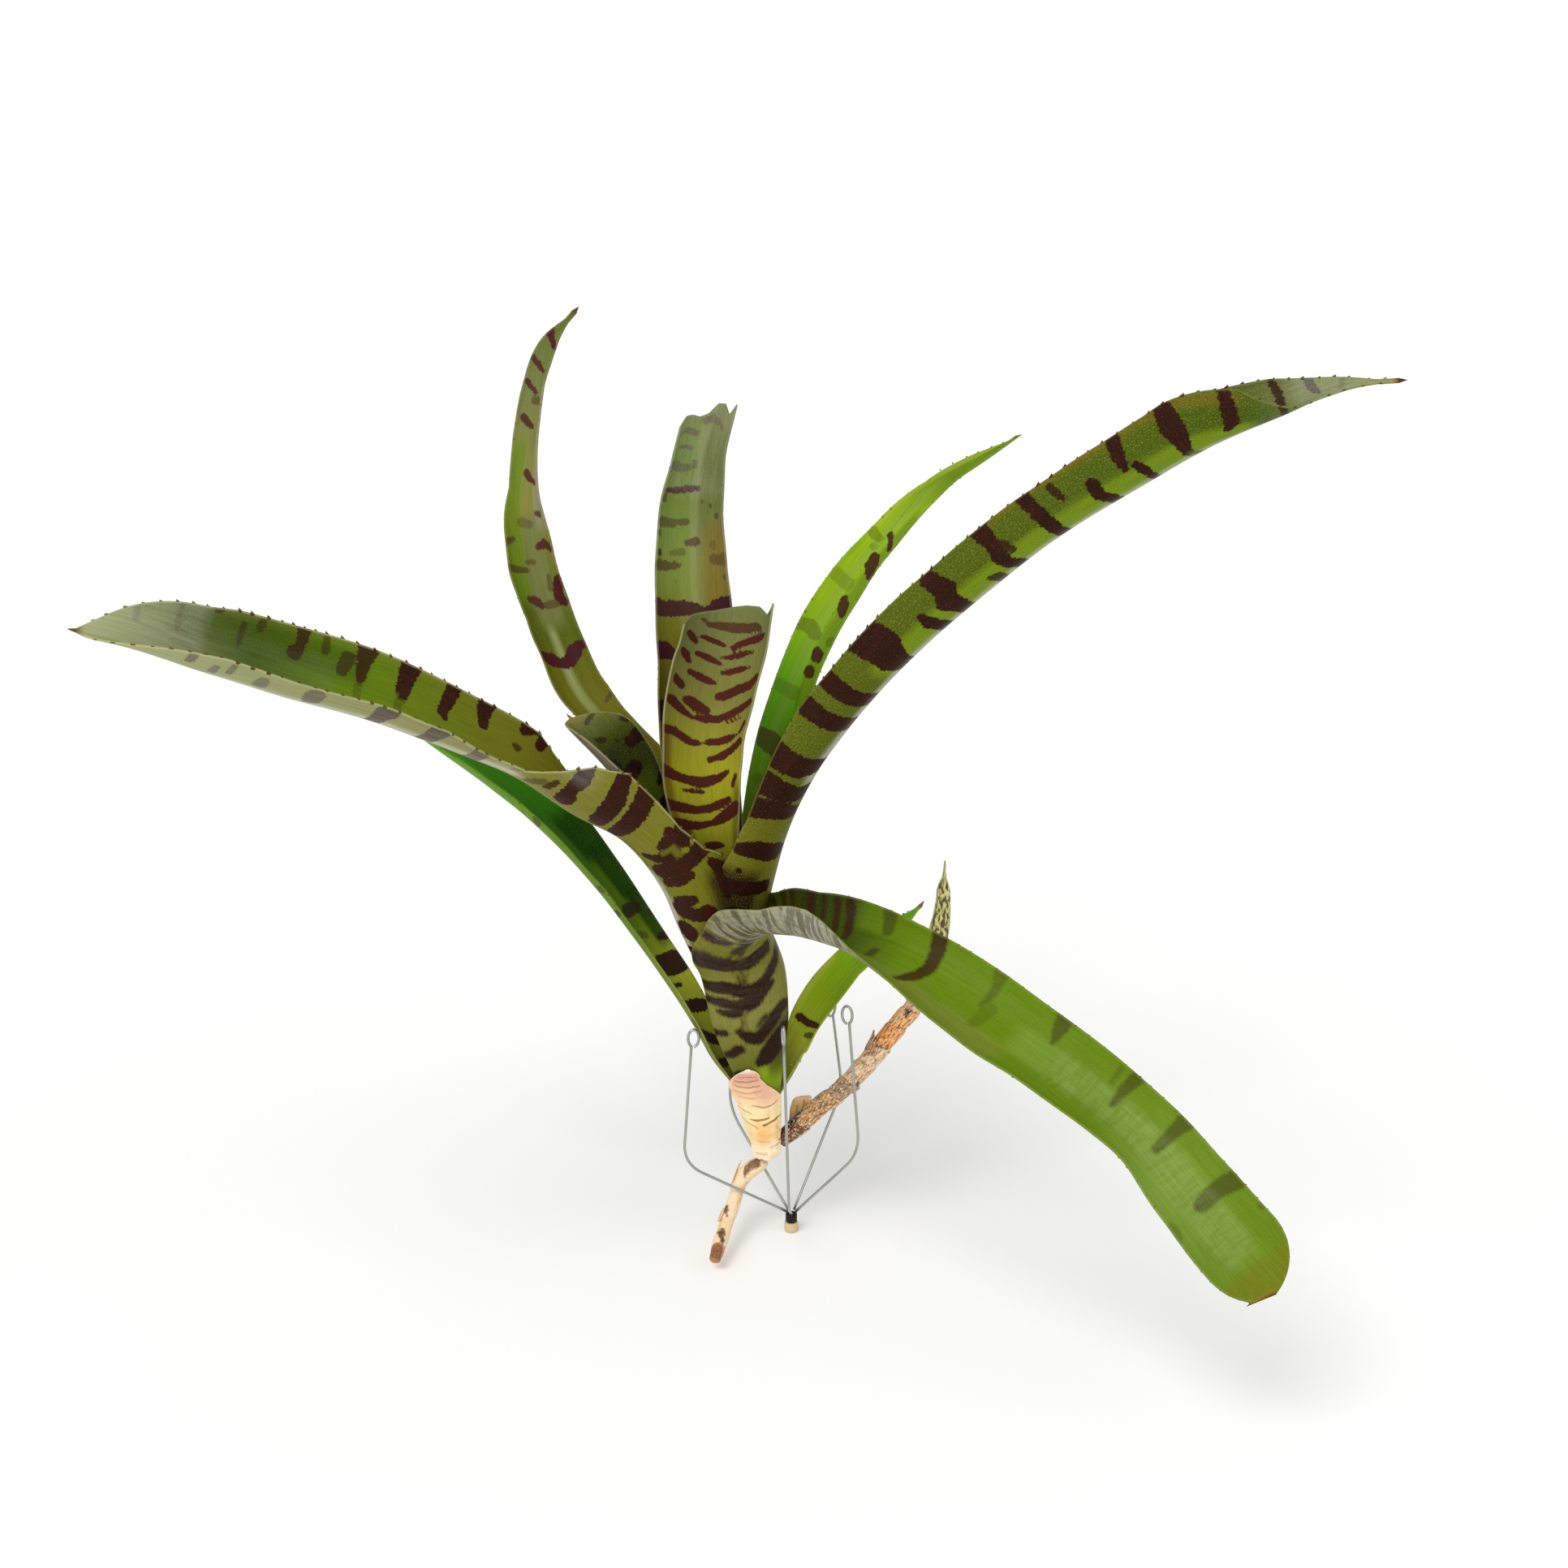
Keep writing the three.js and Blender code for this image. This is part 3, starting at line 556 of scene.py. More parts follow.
def bladeFaces(fronts, backs, lows, highs, apex):
    # the blade's faces and rims, closed across its foot, and at its tip to the point numbered
    # apex, or straight across where there is none
    faces = gridFaces(fronts, backs)
    for i in range(len(fronts) - 1):
        faces.append([fronts[i, 0], lows[i], lows[i + 1], fronts[i + 1, 0]])
        faces.append([lows[i], backs[i, 0], backs[i + 1, 0], lows[i + 1]])
        faces.append([fronts[i, -1], fronts[i + 1, -1], highs[i + 1], highs[i]])
        faces.append([highs[i], highs[i + 1], backs[i + 1, -1], backs[i, -1]])
    columns = range(fronts.shape[1] - 1)
    for i in (0,) if apex else (0, -1):
        end = [[fronts[i, j], fronts[i, j + 1], backs[i, j + 1], backs[i, j]] for j in columns]
        end.append([fronts[i, 0], backs[i, 0], lows[i]])
        end.append([fronts[i, -1], highs[i], backs[i, -1]])
        faces += [face[::-1] for face in end] if i else end
    if apex:
        for j in columns:
            faces.append([fronts[-1, j], apex, fronts[-1, j + 1]])
            faces.append([backs[-1, j], backs[-1, j + 1], apex])
        faces += [[fronts[-1, 0], lows[-1], apex], [lows[-1], backs[-1, 0], apex]]
        faces += [[fronts[-1, -1], apex, highs[-1]], [highs[-1], apex, backs[-1, -1]]]
    return faces


def leafTeeth(leaf, surface, draw, total):
    # the teeth on both margins, and on the fold where the near margin lies over the blade;
    # their points are numbered from total on
    sides = marginsOf(leaf)
    rows = [(sides[:, [0, 1]], -1, 0), (sides[:, [0, 2]], 1, 0)]
    if leaf.get("fold"):
        rows[0] = (rows[0][0], -1, leaf["lift"])
        rows.append((np.array(leaf["fold"], float), 1, leaf["lift"]))
    shells, faces = [], []
    for row, out, lift in rows:
        s = max(surface.freeFrom + tooth["first"], row[0, 0]) + draw.uniform(0, 4)
        while s < surface.length - tooth["last"]:
            edge = float(np.interp(s, row[:, 0], row[:, 1]))
            size = leaf["teeth"] * draw.uniform(*tooth["sizes"])
            shell, made, *place = toothShell(surface, s, edge, out, size, lift)
            shells.append((shell, *place))
            faces += [[total + k for k in face] for face in made]
            total += len(shell)
            s += tooth["pitch"] + draw.uniform(-1, 1) * tooth["jitter"]
    return shells, faces


def leafLooks(leaf, surface, at, v, outer):
    # what the leaf's finish reads at each point: its bands, ground and pale scurf; some of the
    # ground's patches and a stretch of the scurf are painted shade and painted sheen
    sides = [bandField(surface, leaf[key], at, v) for key in ("innerBands", "outerBands")]
    band, power = (np.where(outer > 0.5, behind, front) for front, behind in zip(*sides))
    share = at / surface.length
    inner, behind = (colourAlong(leaf[key], share) for key in ("innerGround", "outerGround"))
    ground = patched(np.where(outer[:, None] > 0.5, behind, inner), leaf["patches"], at, v, outer)
    bloom = np.full(len(at), blade["dust"])
    for patch in leaf.get("scurf", []):
        bloom = np.maximum(bloom, patchShare(patch, at, v, outer) * patch[5])
    return {"band": band, "strength": power, "bloom": bloom}, ground


def makeLeaf(leaf):
    surface = LeafSurface(leaf)
    draw = np.random.default_rng(leaf["seed"])
    stations = leafStations(leaf, surface)
    n, m = len(stations), blade["columns"] + 1
    bend = math.pi / 2 * blade["columnSpread"]
    across = np.sin(np.linspace(-1, 1, m) * bend) / math.sin(bend)
    # the margins' own v at each station, and the blade's columns between them
    sides = marginsOf(leaf)
    low, high = (np.interp(stations, sides[:, 0], sides[:, i]) for i in (1, 2))
    at = np.repeat(stations[:, None], m, axis=1)
    v = (low + high)[:, None] / 2 + (high - low)[:, None] / 2 * across
    ripple = bladeRipple(leaf, surface, at, v, across, draw)
    half = surface.halfLeft(stations)
    thick = halfThickness(across)
    points = [surface.place(at, v, ripple + side * thick).reshape(-1, 3) for side in (-1, 1)]
    for j, edge, out in ((0, low, -1), (-1, high, 1)):
        points.append(surface.place(stations, edge + out * blade["rim"] / half, ripple[:, j]))
    rimDistance = (np.minimum(v - low[:, None], high[:, None] - v) * half[:, None]).ravel()
    values = {
        "at": [at.ravel(), at.ravel(), stations, stations],
        "v": [v.ravel(), v.ravel(), low, high],
        "outer": [np.zeros(n * m), np.ones(n * m), np.full(2 * n, 0.5)],
        "rim": [rimDistance, rimDistance, np.zeros(2 * n)],
    }
    fronts = np.arange(n * m).reshape(n, m)
    lows = 2 * n * m + np.arange(n)
    total = 2 * n * m + 2 * n
    extra, apex = [], None
    if leaf.get("taper"):
        middle = (low[-1] + high[-1]) / 2
        end, before = surface.place([surface.length, surface.length - 1], middle, 0)
        point = end + unit(end - before) * leaf.get("spine", blade["spine"])
        extra.append((point[None], np.array([surface.length]), np.zeros(1)))
        apex = total
        total += 1
    faces = bladeFaces(fronts, fronts + n * m, lows, lows + n, apex)
    shells, toothFaces = leafTeeth(leaf, surface, draw, total)
    for shell, shellAt, shellV in extra + shells:
        points.append(shell)
        values["at"].append(shellAt)
        values["v"].append(shellV)
        values["outer"].append(np.full(len(shell), 0.5))
        values["rim"].append(np.full(len(shell), 1.0))
    at, v, outer, rim = (np.concatenate(values[key]) for key in ("at", "v", "outer", "rim"))
    numbers, ground = leafLooks(leaf, surface, at, v, outer)
    dry = np.zeros(len(at))
    if leaf["dryTip"]:
        dry = np.clip(1 - (surface.length - at) / leaf["dryTip"], 0, 1)
    dry[total:] = np.maximum(dry[total:], 0.8)
    width = surface.halfLeft(np.minimum(at, surface.length))
    place = np.stack([at, v * width, outer * 40 + leaf["seed"] * 7], axis=-1)
    piece = buildMesh(
        leaf["node"] + "_blade", np.concatenate(points), faces + toothFaces,
        leafSkin(leaf["node"] + "_skin", leaf["look"]),
        {**numbers, "rim": rim, "outer": outer, "dry": dry}, {"place": place}, {"ground": ground},
    )
    return settle(piece, leaf["node"])


def bands(text):
    # bands written as distance,v,half width; points of one band part by spaces, and bands
    # by semicolons; a number and a colon before a band is its own strength
    made = []
    for line in text.split(";"):
        strength, _, path = line.rpartition(":")
        points = [[float(x) for x in point.split(",")] for point in path.split()]
        made.append([float(strength) if strength.strip() else 1, *points])
    return made


# the long leaf to the left, its channel turned up; its near margin folds over at the foot
leftLong = {
    "node": "leaf_left_long", "seed": 3, "heading": 196, "layer": 3, "sheathTop": 72,
    "wrap": [62, 68], "dryTip": 3, "teeth": 1,
    "midrib": [
        [-36.8, 1.5, 117, 16.5, 68, 0], [-42.5, 0.5, 131, 19.5, 72, 2],
        [-49, -2, 149, 21, 74, 4], [-63.5, -7, 171, 24, 72, 3], [-81, -14, 184, 26, 70, 0],
        [-102, -21, 202, 27.5, 70, 2], [-122, -30, 215, 28, 72, 6],
        [-149, -42, 231, 29.5, 74, 8], [-176, -54, 244, 29, 72, 10],
        [-201, -65, 257, 26, 66, 12], [-222, -74, 268, 21, 58, 14], [-237, -80, 273, 16, 50, 14],
    ],
    "taper": [40, 2.2, 0.75],
    "edges": [
        [70, -1, 1.5], [96, -1, 1.55], [101, -0.95, 1.66], [106, -0.9, 1.7], [109, -0.85, 1.6],
        [113, -0.8, 1.42], [124, -0.78, 1.28], [131, -0.76, 1.3], [150, -0.75, 1.45],
        [164, -0.9, 1.25], [172, -1, 0.95], [182, -1, 0.62], [195, -1, 0.6], [217, -1, 0.8],
        [261, -1, 0.83], [290, -1, 0.93], [300, -0.96, 1], [320, -0.95, 1],
    ],
    "innerGround": [
        [0, "straw"], [0.5, "olive"], [0.72, "leaf"], [0.82, "deep"], [0.9, "sage"], [1, "frost"],
    ],
    "outerGround": [[0, "straw"], [0.3, "olive"], [0.65, "dun"], [1, "frost"]],
    # the deep patch on the inner face at 240-312 along is painted shade under the near margin, and
    # the umber patch at 80-105 is painted shade in the hollow at the foot
    "patches": [
        [1, 240, 312, -0.9, -0.5, "deep", 0.6], [2, 182, 300, 0.3, 0.5, "silver", 0.6],
        [1, 165, 345, -1.1, -0.96, "straw", 0.6], [2, 60, 112, -1, 0.3, "silver", 0.7],
        [2, 80, 105, 1.2, 1.95, "umber", 0.85],
    ],
    "scurf": [
        [2, 182, 345, 0.2, 1.1, 0.26], [1, 300, 350, -1.1, 0.3, 0.32],
        [1, 250, 300, -0.72, 0, 0.06], [2, 160, 182, 0.9, 1.6, 0.2],
    ],
    "look": {
        "band": "2e1206", "ragged": 2, "flushed": 0.2, "fingers": 2.4, "edge": "c9c892",
        "rim": 0.35, "tip": "5a3018", "gloss": 0.42, "bandGrain": 0.3,
    },
    "innerBands": bands(
        "152,-1,4 153,-.85,2.5; 169.5,-1,2.4 170,-.85,2.2; 176,-1,3.8 177,-.9,2; .8:177.5,-.62,2;"
        "192,-1,3.6 192,-.85,3 191,-.7,2.2; 206.5,-1,3.6 207.5,-.75,2.8 209,-.6,2.3 207,-.5,1.2;"
        "224.8,-1,4.2 225,-.75,3.4 225.3,-.62,3; .9:241,-1,4.4 241,-.8,2.6 241.5,-.6,2;"
        ".7:247,-.8,2.7 248.5,-.62,2.5; .6:256,-.95,1.4 255.5,-.8,1.8;"
        ".85:265,-1,3.2 264.5,-.8,1.8 266.5,-.68,3.5; .55:280.5,-.93,1.8 281,-.85,1.6;"
        ".55:287,-.85,1.4 287.5,-.55,1.2; .6:297,-.98,2.5; .4:310,-.95,1.2 310,-.5,1;"
        ".3:324,-.9,1.2 324,-.6,1.2; .35:226,-.5,2 227,-.2,1.6; .3:242,-.45,1.8 243,-.2,1.4"
    ),
    "outerBands": bands(
        "108,1.42,2 103,1.52,3.4 97,1.5,3.4; 115,1.3,2.2 112.5,1.2,2.4; 126,1.12,2 120,1.2,2.8; "
        "90,1.1,2.6 87,1.5,3.6; 79,1,3.2 75,1.5,3.6; 84,.4,5.4; 74,.2,2.5 72,.8,3; 95,.5,4.4 "
        "92,.7,3 92,1,3.8; 98.5,.55,3 98.5,.85,2.1; 107.5,.5,2.3 107.5,.75,2.5 108,1,1.9; "
        "113,.5,3.8 113,.75,3.6 112.5,1,3.2 114,1.5,3; 121.5,.45,1.9 119,.6,2.3 118,.9,2.3; "
        "123,.85,1.9 123.5,1,2.5 124,1.5,2.4; 137,.4,3.4 137.5,.6,3.8 138,1,3.8 140,1.5,3.6; "
        "146,.45,3.4 147,.6,4 148.2,1,4.8 152,1.5,4; 162.5,.5,3.8 163,.62,3.8 164.5,.75,2.8 "
        "164.5,1,3.6 168,1.4,3; .9:171,.55,1.9 170.5,.75,1.5; .8:201,.3,3.1 201,.7,3.5; "
        ".9:221,.4,3.3 220.5,.6,3.5 220,.78,4.4; .9:241,.4,3.1 241,.6,3.3 240,.75,4.5 237,.95,1.7; "
        ".7:265.5,.55,3.3 266,.72,3.9; .6:284.5,.6,2.7 284.5,.75,2.3; .6:296,.72,1.5 296,.9,1.5; "
        ".6:301,.62,1.7 301,.8,1.5; .7:310,.78,1.7 310,.95,1.7"
    ) + scatterBands(32, 60, 320, 15, 2.6, (0.1, 0.3), (0.3, 0.6)),
}
makeLeaf(leftLong)

# the long leaf to the right, rolled so that its outer face shows, with a dry tip
rightLong = {
    "node": "leaf_right_long", "seed": 5, "heading": -20, "layer": 5, "sheathTop": 94,
    "wrap": [66, 70], "dryTip": 2, "teeth": 0.85,
    "midrib": [
        [-10.3, -0.6, 137, 12.5, 70, -6], [-6, -2.2, 157, 17, 74, -12],
        [-1.2, -5, 176, 19, 80, -24], [4, -8, 191, 19, 82, -32], [12, -11, 208, 19, 82, -38],
        [25, -15, 228, 19, 82, -40], [43, -21, 251, 19.5, 82, -40],
        [66, -28, 275, 19.5, 82, -40], [91, -35, 298, 19, 82, -40], [119, -42, 318, 19, 82, -38],
        [142, -48, 333, 18, 80, -36], [163, -53, 343, 15, 76, -34], [181, -57, 350, 10, 72, -32],
        [198, -60, 352, 5, 60, -30],
    ],
    "taper": [70, 1.35, 1],
    "edges": [
        [60, -1.3, 0.9], [84, -1.5, 0.9], [92, -1.55, 0.8], [100, -1.42, 0.6], [116, -1.38, 0.4],
        [124, -1.45, 0.3], [142, -1.63, 0.15], [160, -1.78, 0.1], [220, -1.83, 0.15],
        [260, -1.87, 0.35], [300, -1.9, 0.6], [316, -1.94, 0.7], [334, -2.1, 0.85],
        [345, -2.2, 0.92], [353, -1.8, 1], [364, -1, 1], [393, -1, 1],
    ],
    "innerGround": [[0, "straw"], [0.25, "olive"], [0.8, "moss"], [0.94, "sage"], [1, "olive"]],
    "outerGround": [
        [0, "straw"], [0.25, "olive"], [0.35, "moss"], [0.88, "deep"], [0.94, "sage"], [1, "tan"],
    ],
    "patches": [
        [2, 190, 345, -1.25, -0.7, "lime", 0.45], [2, 250, 345, -2.1, -1.8, "bronze", 0.4],
        [2, 135, 345, -0.76, -0.3, "silver", 0.5], [2, 60, 93, -2.2, -0.72, "umber", 0.92],
    ],
    "scurf": [[0, 358, 395, -1.1, 1.1, 0.3], [2, 150, 345, -0.72, -0.3, 0.3]],
    "look": {
        "band": "290f05", "ragged": 2.2, "slim": 0.25, "flushed": 0.15, "fingers": 2.4,
        "edge": "8a8c50", "rim": 0.25, "tip": "4a2410", "gloss": 0.44, "speckle": 0.4,
        "bandGrain": 0.35,
    },
    "outerBands": bands(
        "103,-1.3,3 104.4,-.96,4.6 102.8,-.6,4.8 102.4,-.4,4; 93,-1.2,1.7; 84,-1.45,4 85,-1,3.7 "
        "86,-.5,3.4; 122,-1.4,4.6 123.6,-1,4.3 122.5,-.7,3.6 122,-.4,3.2; 132,-1.5,5 "
        "131.2,-1.1,4.4 130.6,-.8,4 132,-.4,3.6; 143,-1.6,5.4 142.6,-1,5 144,-.7,4.2 145,-.4,3.6; "
        "164,-1.7,4.2 164,-1.3,4 164.5,-1,4 166,-.4,3.4; 177,-1.7,4 177,-1.1,4 178,-.8,3.8 "
        "179,-.4,3.2; 197,-1.8,7 199.6,-1.4,7.4 198,-1.1,6 197.5,-.8,4.4 198,-.4,3.6; 217,-1.3,1.8 "
        "217,-1.1,2.9 218.5,-.9,3 219,-.4,3.2; 228,-1.7,3.6 230,-1.4,4.4 227.5,-1.2,4.4 229,-1,3.7 "
        "228.5,-.5,3; .9:243.6,-1,1.7 245.6,-.9,2.4 245.5,-.4,2.6; 252,-1.86,3.8 253,-1.5,2.8 "
        "251.6,-1.2,3.1 252,-1,2.8 254,-.8,2.8 254,-.4,2.6; .9:256.4,-1.2,1.9 256,-1.4,1.5; "
        "269,-1.93,2.5 271,-1.5,2.7 271.6,-1.2,2.9 272,-.9,2.6 273,-.5,2.8; .9:280,-1.46,1.7 "
        "278.4,-1.75,1.5; 290.8,-1.36,2.7 290.4,-1.1,2.4 293,-.9,2.4 294,-.5,2.6; 304.4,-1.98,2.9 "
        "303.2,-1.6,2.9 302.8,-1.3,1.6; 306.8,-1.25,2.1 308,-1.1,2.1 309,-.5,1.8; 322.8,-1.9,3.4 "
        "322.8,-1.55,4.2 323.2,-1.3,3.2 322.4,-.9,1.8; .7:322.4,-.9,1.7 326,-.6,1.7; 341,-2.3,1.9 "
        "340.4,-1.8,2.6 339.6,-1.4,2.8 337,-1.1,1.4; .9:356,-2.3,1.9 355.6,-1.9,1.8 355,-.8,1.2; "
        ".9:364.5,-.8,1.6 365,.8,1.6"
    ),
    "innerBands": bands(
        "338,.95,1.9 337.5,.5,2.5; .9:353,.95,1.5 354,.5,1.9 354,.15,1.7 355,-.6,1;"
        ".9:364.5,.9,1.8 365,.4,1.8 366,0,1.5 367,-.3,.9; .4:375,.8,1.2 374,-.5,1.2"
    ) + scatterBands(52, 70, 335, 14, 3, (0.3, 0.9), (0.7, 0.95)),
}
makeLeaf(rightLong)

# the outermost leaf: its banded sheath faces forward, its blade droops to the right
frontDrooping = {
    "node": "leaf_front_drooping", "seed": 7, "heading": 285, "layer": 1, "sheathTop": 84,
    "wrap": [44, 48, 54, 68, 80], "dryTip": 1.5, "teeth": 0.5,
    "midrib": [
        [-19, -16, 128, 24, 86, -6], [-12, -24, 139, 22.5, 84, -4], [3, -36, 145, 20, 78, 5],
        [20, -47, 146, 19, 68, 7], [37, -61, 144, 18, 56, 5], [56, -75, 137.6, 18, 45, 0],
        [78, -90, 127.6, 17.5, 42, -1], [100, -104, 116.8, 16.3, 42, 0],
        [120, -117, 104, 15, 42, 0], [135, -127, 88, 16.5, 42, 0], [149, -134, 72, 17.5, 42, 0],
        [163, -139, 57, 17, 40, 0],
    ],
    "taper": [22, 2.2, 0.55], "cut": [5, 4, 3, 2, 1, 0, 0, 0], "spine": 1.5,
    "edges": [
        [0, -1, 1], [84, -1.04, 1], [88, -1.04, 1.1], [92, -0.93, 1.3], [97, -0.76, 1.4],
        [101, -0.73, 1.24], [105, -0.83, 1.15], [110, -0.9, 1.05], [116, -0.93, 1], [126, -1, 1],
        [132, -1.1, 1], [138, -1.25, 1], [144, -1.33, 1], [150, -1.28, 1], [165, -1.05, 1],
        [240, -1, 0.96], [300, -1, 0.98], [330, -0.95, 1], [350, -0.8, 1],
    ],
    "innerGround": [
        [0, "leaf"], [0.3, "deep"], [0.36, "night"], [0.44, "deep"], [0.5, "leaf"], [0.75, "leaf"],
        [0.85, "pea"], [1, "leaf"],
    ],
    "outerGround": [
        [0, "olive"], [0.1, "moss"], [0.2, "dun"], [0.28, "olive"], [0.33, "sage"], [0.42, "ash"],
        [0.5, "sage"], [1, "frost"],
    ],
    # the pea patch down the middle at 225-335 along, with the faint scurf on the inner face at
    # 240-335, is a painted sheen; the umber patch at 38-64 on the sheath is painted shadow beside
    # the lower right leaf
    "patches": [
        [1, 150, 350, 0.45, 1.2, "leaf", 0.7], [1, 225, 335, -0.35, 0.35, "pea", 0.6],
        [1, 150, 225, -1, -0.3, "dun", 0.4], [1, 338, 352, -1.1, 1.1, "olive", 0.6],
        [2, 30, 44, -0.2, 1, "lime", 0.7], [2, 38, 64, 0.22, 1.1, "umber", 0.6],
    ],
    "scurf": [
        [2, 103, 120, -1.1, 1.1, 0.72], [2, 112, 170, -1.5, 1.1, 0.66],
        [2, 60, 103, -1.1, 1.1, 0.06], [1, 240, 335, -0.5, 0.4, 0.1],
    ],
    "look": {
        "band": "241309", "ragged": 1.7, "flushed": 0.08, "warm": 0.5, "soft": 0.6, "fingers": 1.8,
        "edge": "9aa060", "rim": 0.2, "tip": "7a6c22", "gloss": 0.36, "bandGrain": 0.16,
        "shine": 0.05, "bloom": "b4ad9a", "comb": 0.75,
    },
    "innerBands": bands(
        ".9:128,.92,2.2 129.5,.5,2 131,.2,1; .9:114,.95,1.7 116,.6,1.2 118,.3,.6; .9:119,.95,1.4 "
        "120,.65,1.2 122,.3,.6; .9:108,.95,1.6 110,.6,1; .9:140,.9,1.8 142,.5,1.4 144.5,.1,1.4; "
        ".9:145,.9,2 147.5,.5,1.8 149.5,.1,1.6; .9:134,.95,1.2 136,.5,1; .55:160,.95,3 162,.6,2.2; "
        ".7:164,-.2,1.8 163.5,.05,1.8; .9:182,.95,3.4 184,.6,3 185,.25,2.6 183.5,0,2.5 "
        "181.5,-.25,2.1 179.5,-.5,1.2; .4:208,.97,2.8 209.5,.6,1.8 209,.2,1.4; .25:212,.2,3 "
        "211,-.3,2; .6:236,.95,3.6 236.5,.6,2.2 237,.4,1; .35:261,.85,1.2 261,.45,1; "
        ".6:267,.95,2.6 266,.5,2 266,.1,1.6; .6:286.5,.95,2.9 286.5,.5,2.2 287,0,1.8; "
        ".6:311,.95,3.7 310,.5,3.2 310.5,0,2.8; .3:311,-1,4; .4:323,.98,1.6; .35:341,-.95,1.6"
    ),
    # the wide dark band at 46-56 along, beside the lower right leaf, is partly a band and partly
    # painted shadow
    "outerBands": bands(
        ".85:100,.03,.9 84,-.06,1 76,-.15,.9 68,-.24,1.1 58,-.25,1.3; 49.3,-1,1.4 50.5,-.74,1.9 "
        "53,-.48,2.3; 59.5,-1,1.7 60.2,-.68,1.6; 73,-1,1.7 73,-.6,2.1 72,-.35,2.3 71.5,-.1,2.9; "
        "69,-.72,1.3 68.5,-.5,1.9 69,-.3,2.3; 78.7,-1,2.3 79,-.7,2.9 79.5,-.45,3.1 78,-.25,3.3 "
        "76.5,0,3.7 79,.2,2.7 83,.4,2.3 86.5,.7,1.7 88,.9,1.3; 72,0,2.7 76,.2,2.5 78,.35,2.1; "
        "92,-.85,2.7 93,-.55,3.3 91.5,-.25,3.7 89.5,0,2.9 91,.25,3.3 91,.5,2.7; .9:98,-.1,2.3 "
        "103,0,2.7 107,-.1,2.3; 62,-.24,.7 95,-.2,.7; 61,-.38,1.7 58,-.2,2.9 57,0,2.9 60.5,.2,2.9 "
        "64,.4,3.3 66.5,.6,2.9 66,.85,1.9; .9:62.5,.03,1.3 65.5,.18,1.5; 46,-.05,2.2 48,.2,4.2 "
        "52,.45,5.2 56,.65,4.2; 40,-1,1.6 41,-.7,2; 33,-.9,1.4 33,-.5,1.6; 100.5,-.75,1.6 "
        "101.5,-.5,1.9 102.3,-.3,1.5; .9:105,-.8,.8 107,-.4,1 109,-.1,.8; 109,-.85,.7 111,-.4,.8 "
        "112.5,-.1,.6; .9:112.5,-.9,.8 114.5,-.4,.9 116,-.1,.7; .8:116.5,-.9,.6 118,-.4,.7; "
        ".8:121,-.95,.8 122.5,-.3,.9; .7:127,-.9,.9 128,-.3,.7; .6:134,-1.1,.7 135,-.4,.8; "
        ".5:141,-1.2,.8 142,-.5,.6"
    ) + scatterBands(72, 150, 335, 15, 2.2, (0.2, 0.7), (0.3, 0.6)),
}
makeLeaf(frontDrooping)

# the narrow leaf low on the left, mostly in the shade of the long one
leftLower = {
    "node": "leaf_left_lower", "seed": 11, "heading": 166, "layer": 2, "sheathTop": 30,
    "wrap": [50, 50], "dryTip": 3, "teeth": 0.3,
    "midrib": [
        [-31, 5, 76.5, 8.5, 50, 0], [-37.5, 5.5, 90, 10, 52, 0], [-44.7, 6.5, 102.3, 11, 54, 0],
        [-52.9, 8.5, 114.6, 11.2, 56, 0], [-63.2, 12, 128.8, 12, 58, 0],
        [-75.5, 18, 143.5, 13.8, 58, 0], [-93, 24, 162, 17, 58, 0], [-113, 30, 178, 18, 56, 0],
        [-136, 35, 194, 17, 50, 0], [-157, 40, 207, 15, 48, 0], [-171, 42, 215, 13, 45, 0],
    ],
    "taper": [60, 1.5, 1],
    "innerGround": [
        [0, "olive"], [0.28, "pear"], [0.4, "leaf"], [0.65, "emerald"], [1, "fresh"],
    ],
    "outerGround": [[0, "straw"], [0.4, "leaf"], [1, "fresh"]],
    # the three dark green patches and the emerald one after them, 82 to 200 along the upper half,
    # are painted shade under the long leaf
    "patches": [
        [0, 82, 108, -1.1, -0.58, "paintedShadeGreen", 0.85], [0, 104, 128, -1.1, -0.42, "paintedShadeGreen", 0.85],
        [0, 124, 150, -1.1, -0.2, "paintedShadeGreen", 0.85], [0, 146, 200, -1.1, 0.02, "emerald", 0.75],
        [1, 40, 66, -0.7, 0.4, "pear", 0.5],
    ],
    "look": {
        "band": "33211a", "ragged": 1.6, "flushed": 0.1, "edge": "8c9060", "rim": 0.15,
        "tip": "5a3a1c", "gloss": 0.4, "bandGrain": 0.15,
    },
    "innerBands": bands(
        "36.5,-.7,1.8 40,-.3,2.4 43,0,2.4 46,.4,2.6; 51.5,-.95,2.2 54,-.5,3 56.5,0,2.8 58,.4,2.8; "
        "65,-.35,1 66.5,0,1.2 68,.3,1; 72.5,-.95,4.8 74,-.5,5.2 76,0,4.6 77,.3,3.8; .5:89,-.3,1.6 "
        "92,.1,1.8; .9:100.5,-.6,3 101,-.3,3.2 100.5,-.08,2.2; 84,-1,2 85,-.8,1.6; .7:95,-1,1.6; "
        "28,-.4,2 30,.2,2.2"
    ),
    "outerBands": scatterBands(112, 26, 225, 12, 2.6, (0.2, 0.8), (0.5, 0.9)),
}
makeLeaf(leftLower)

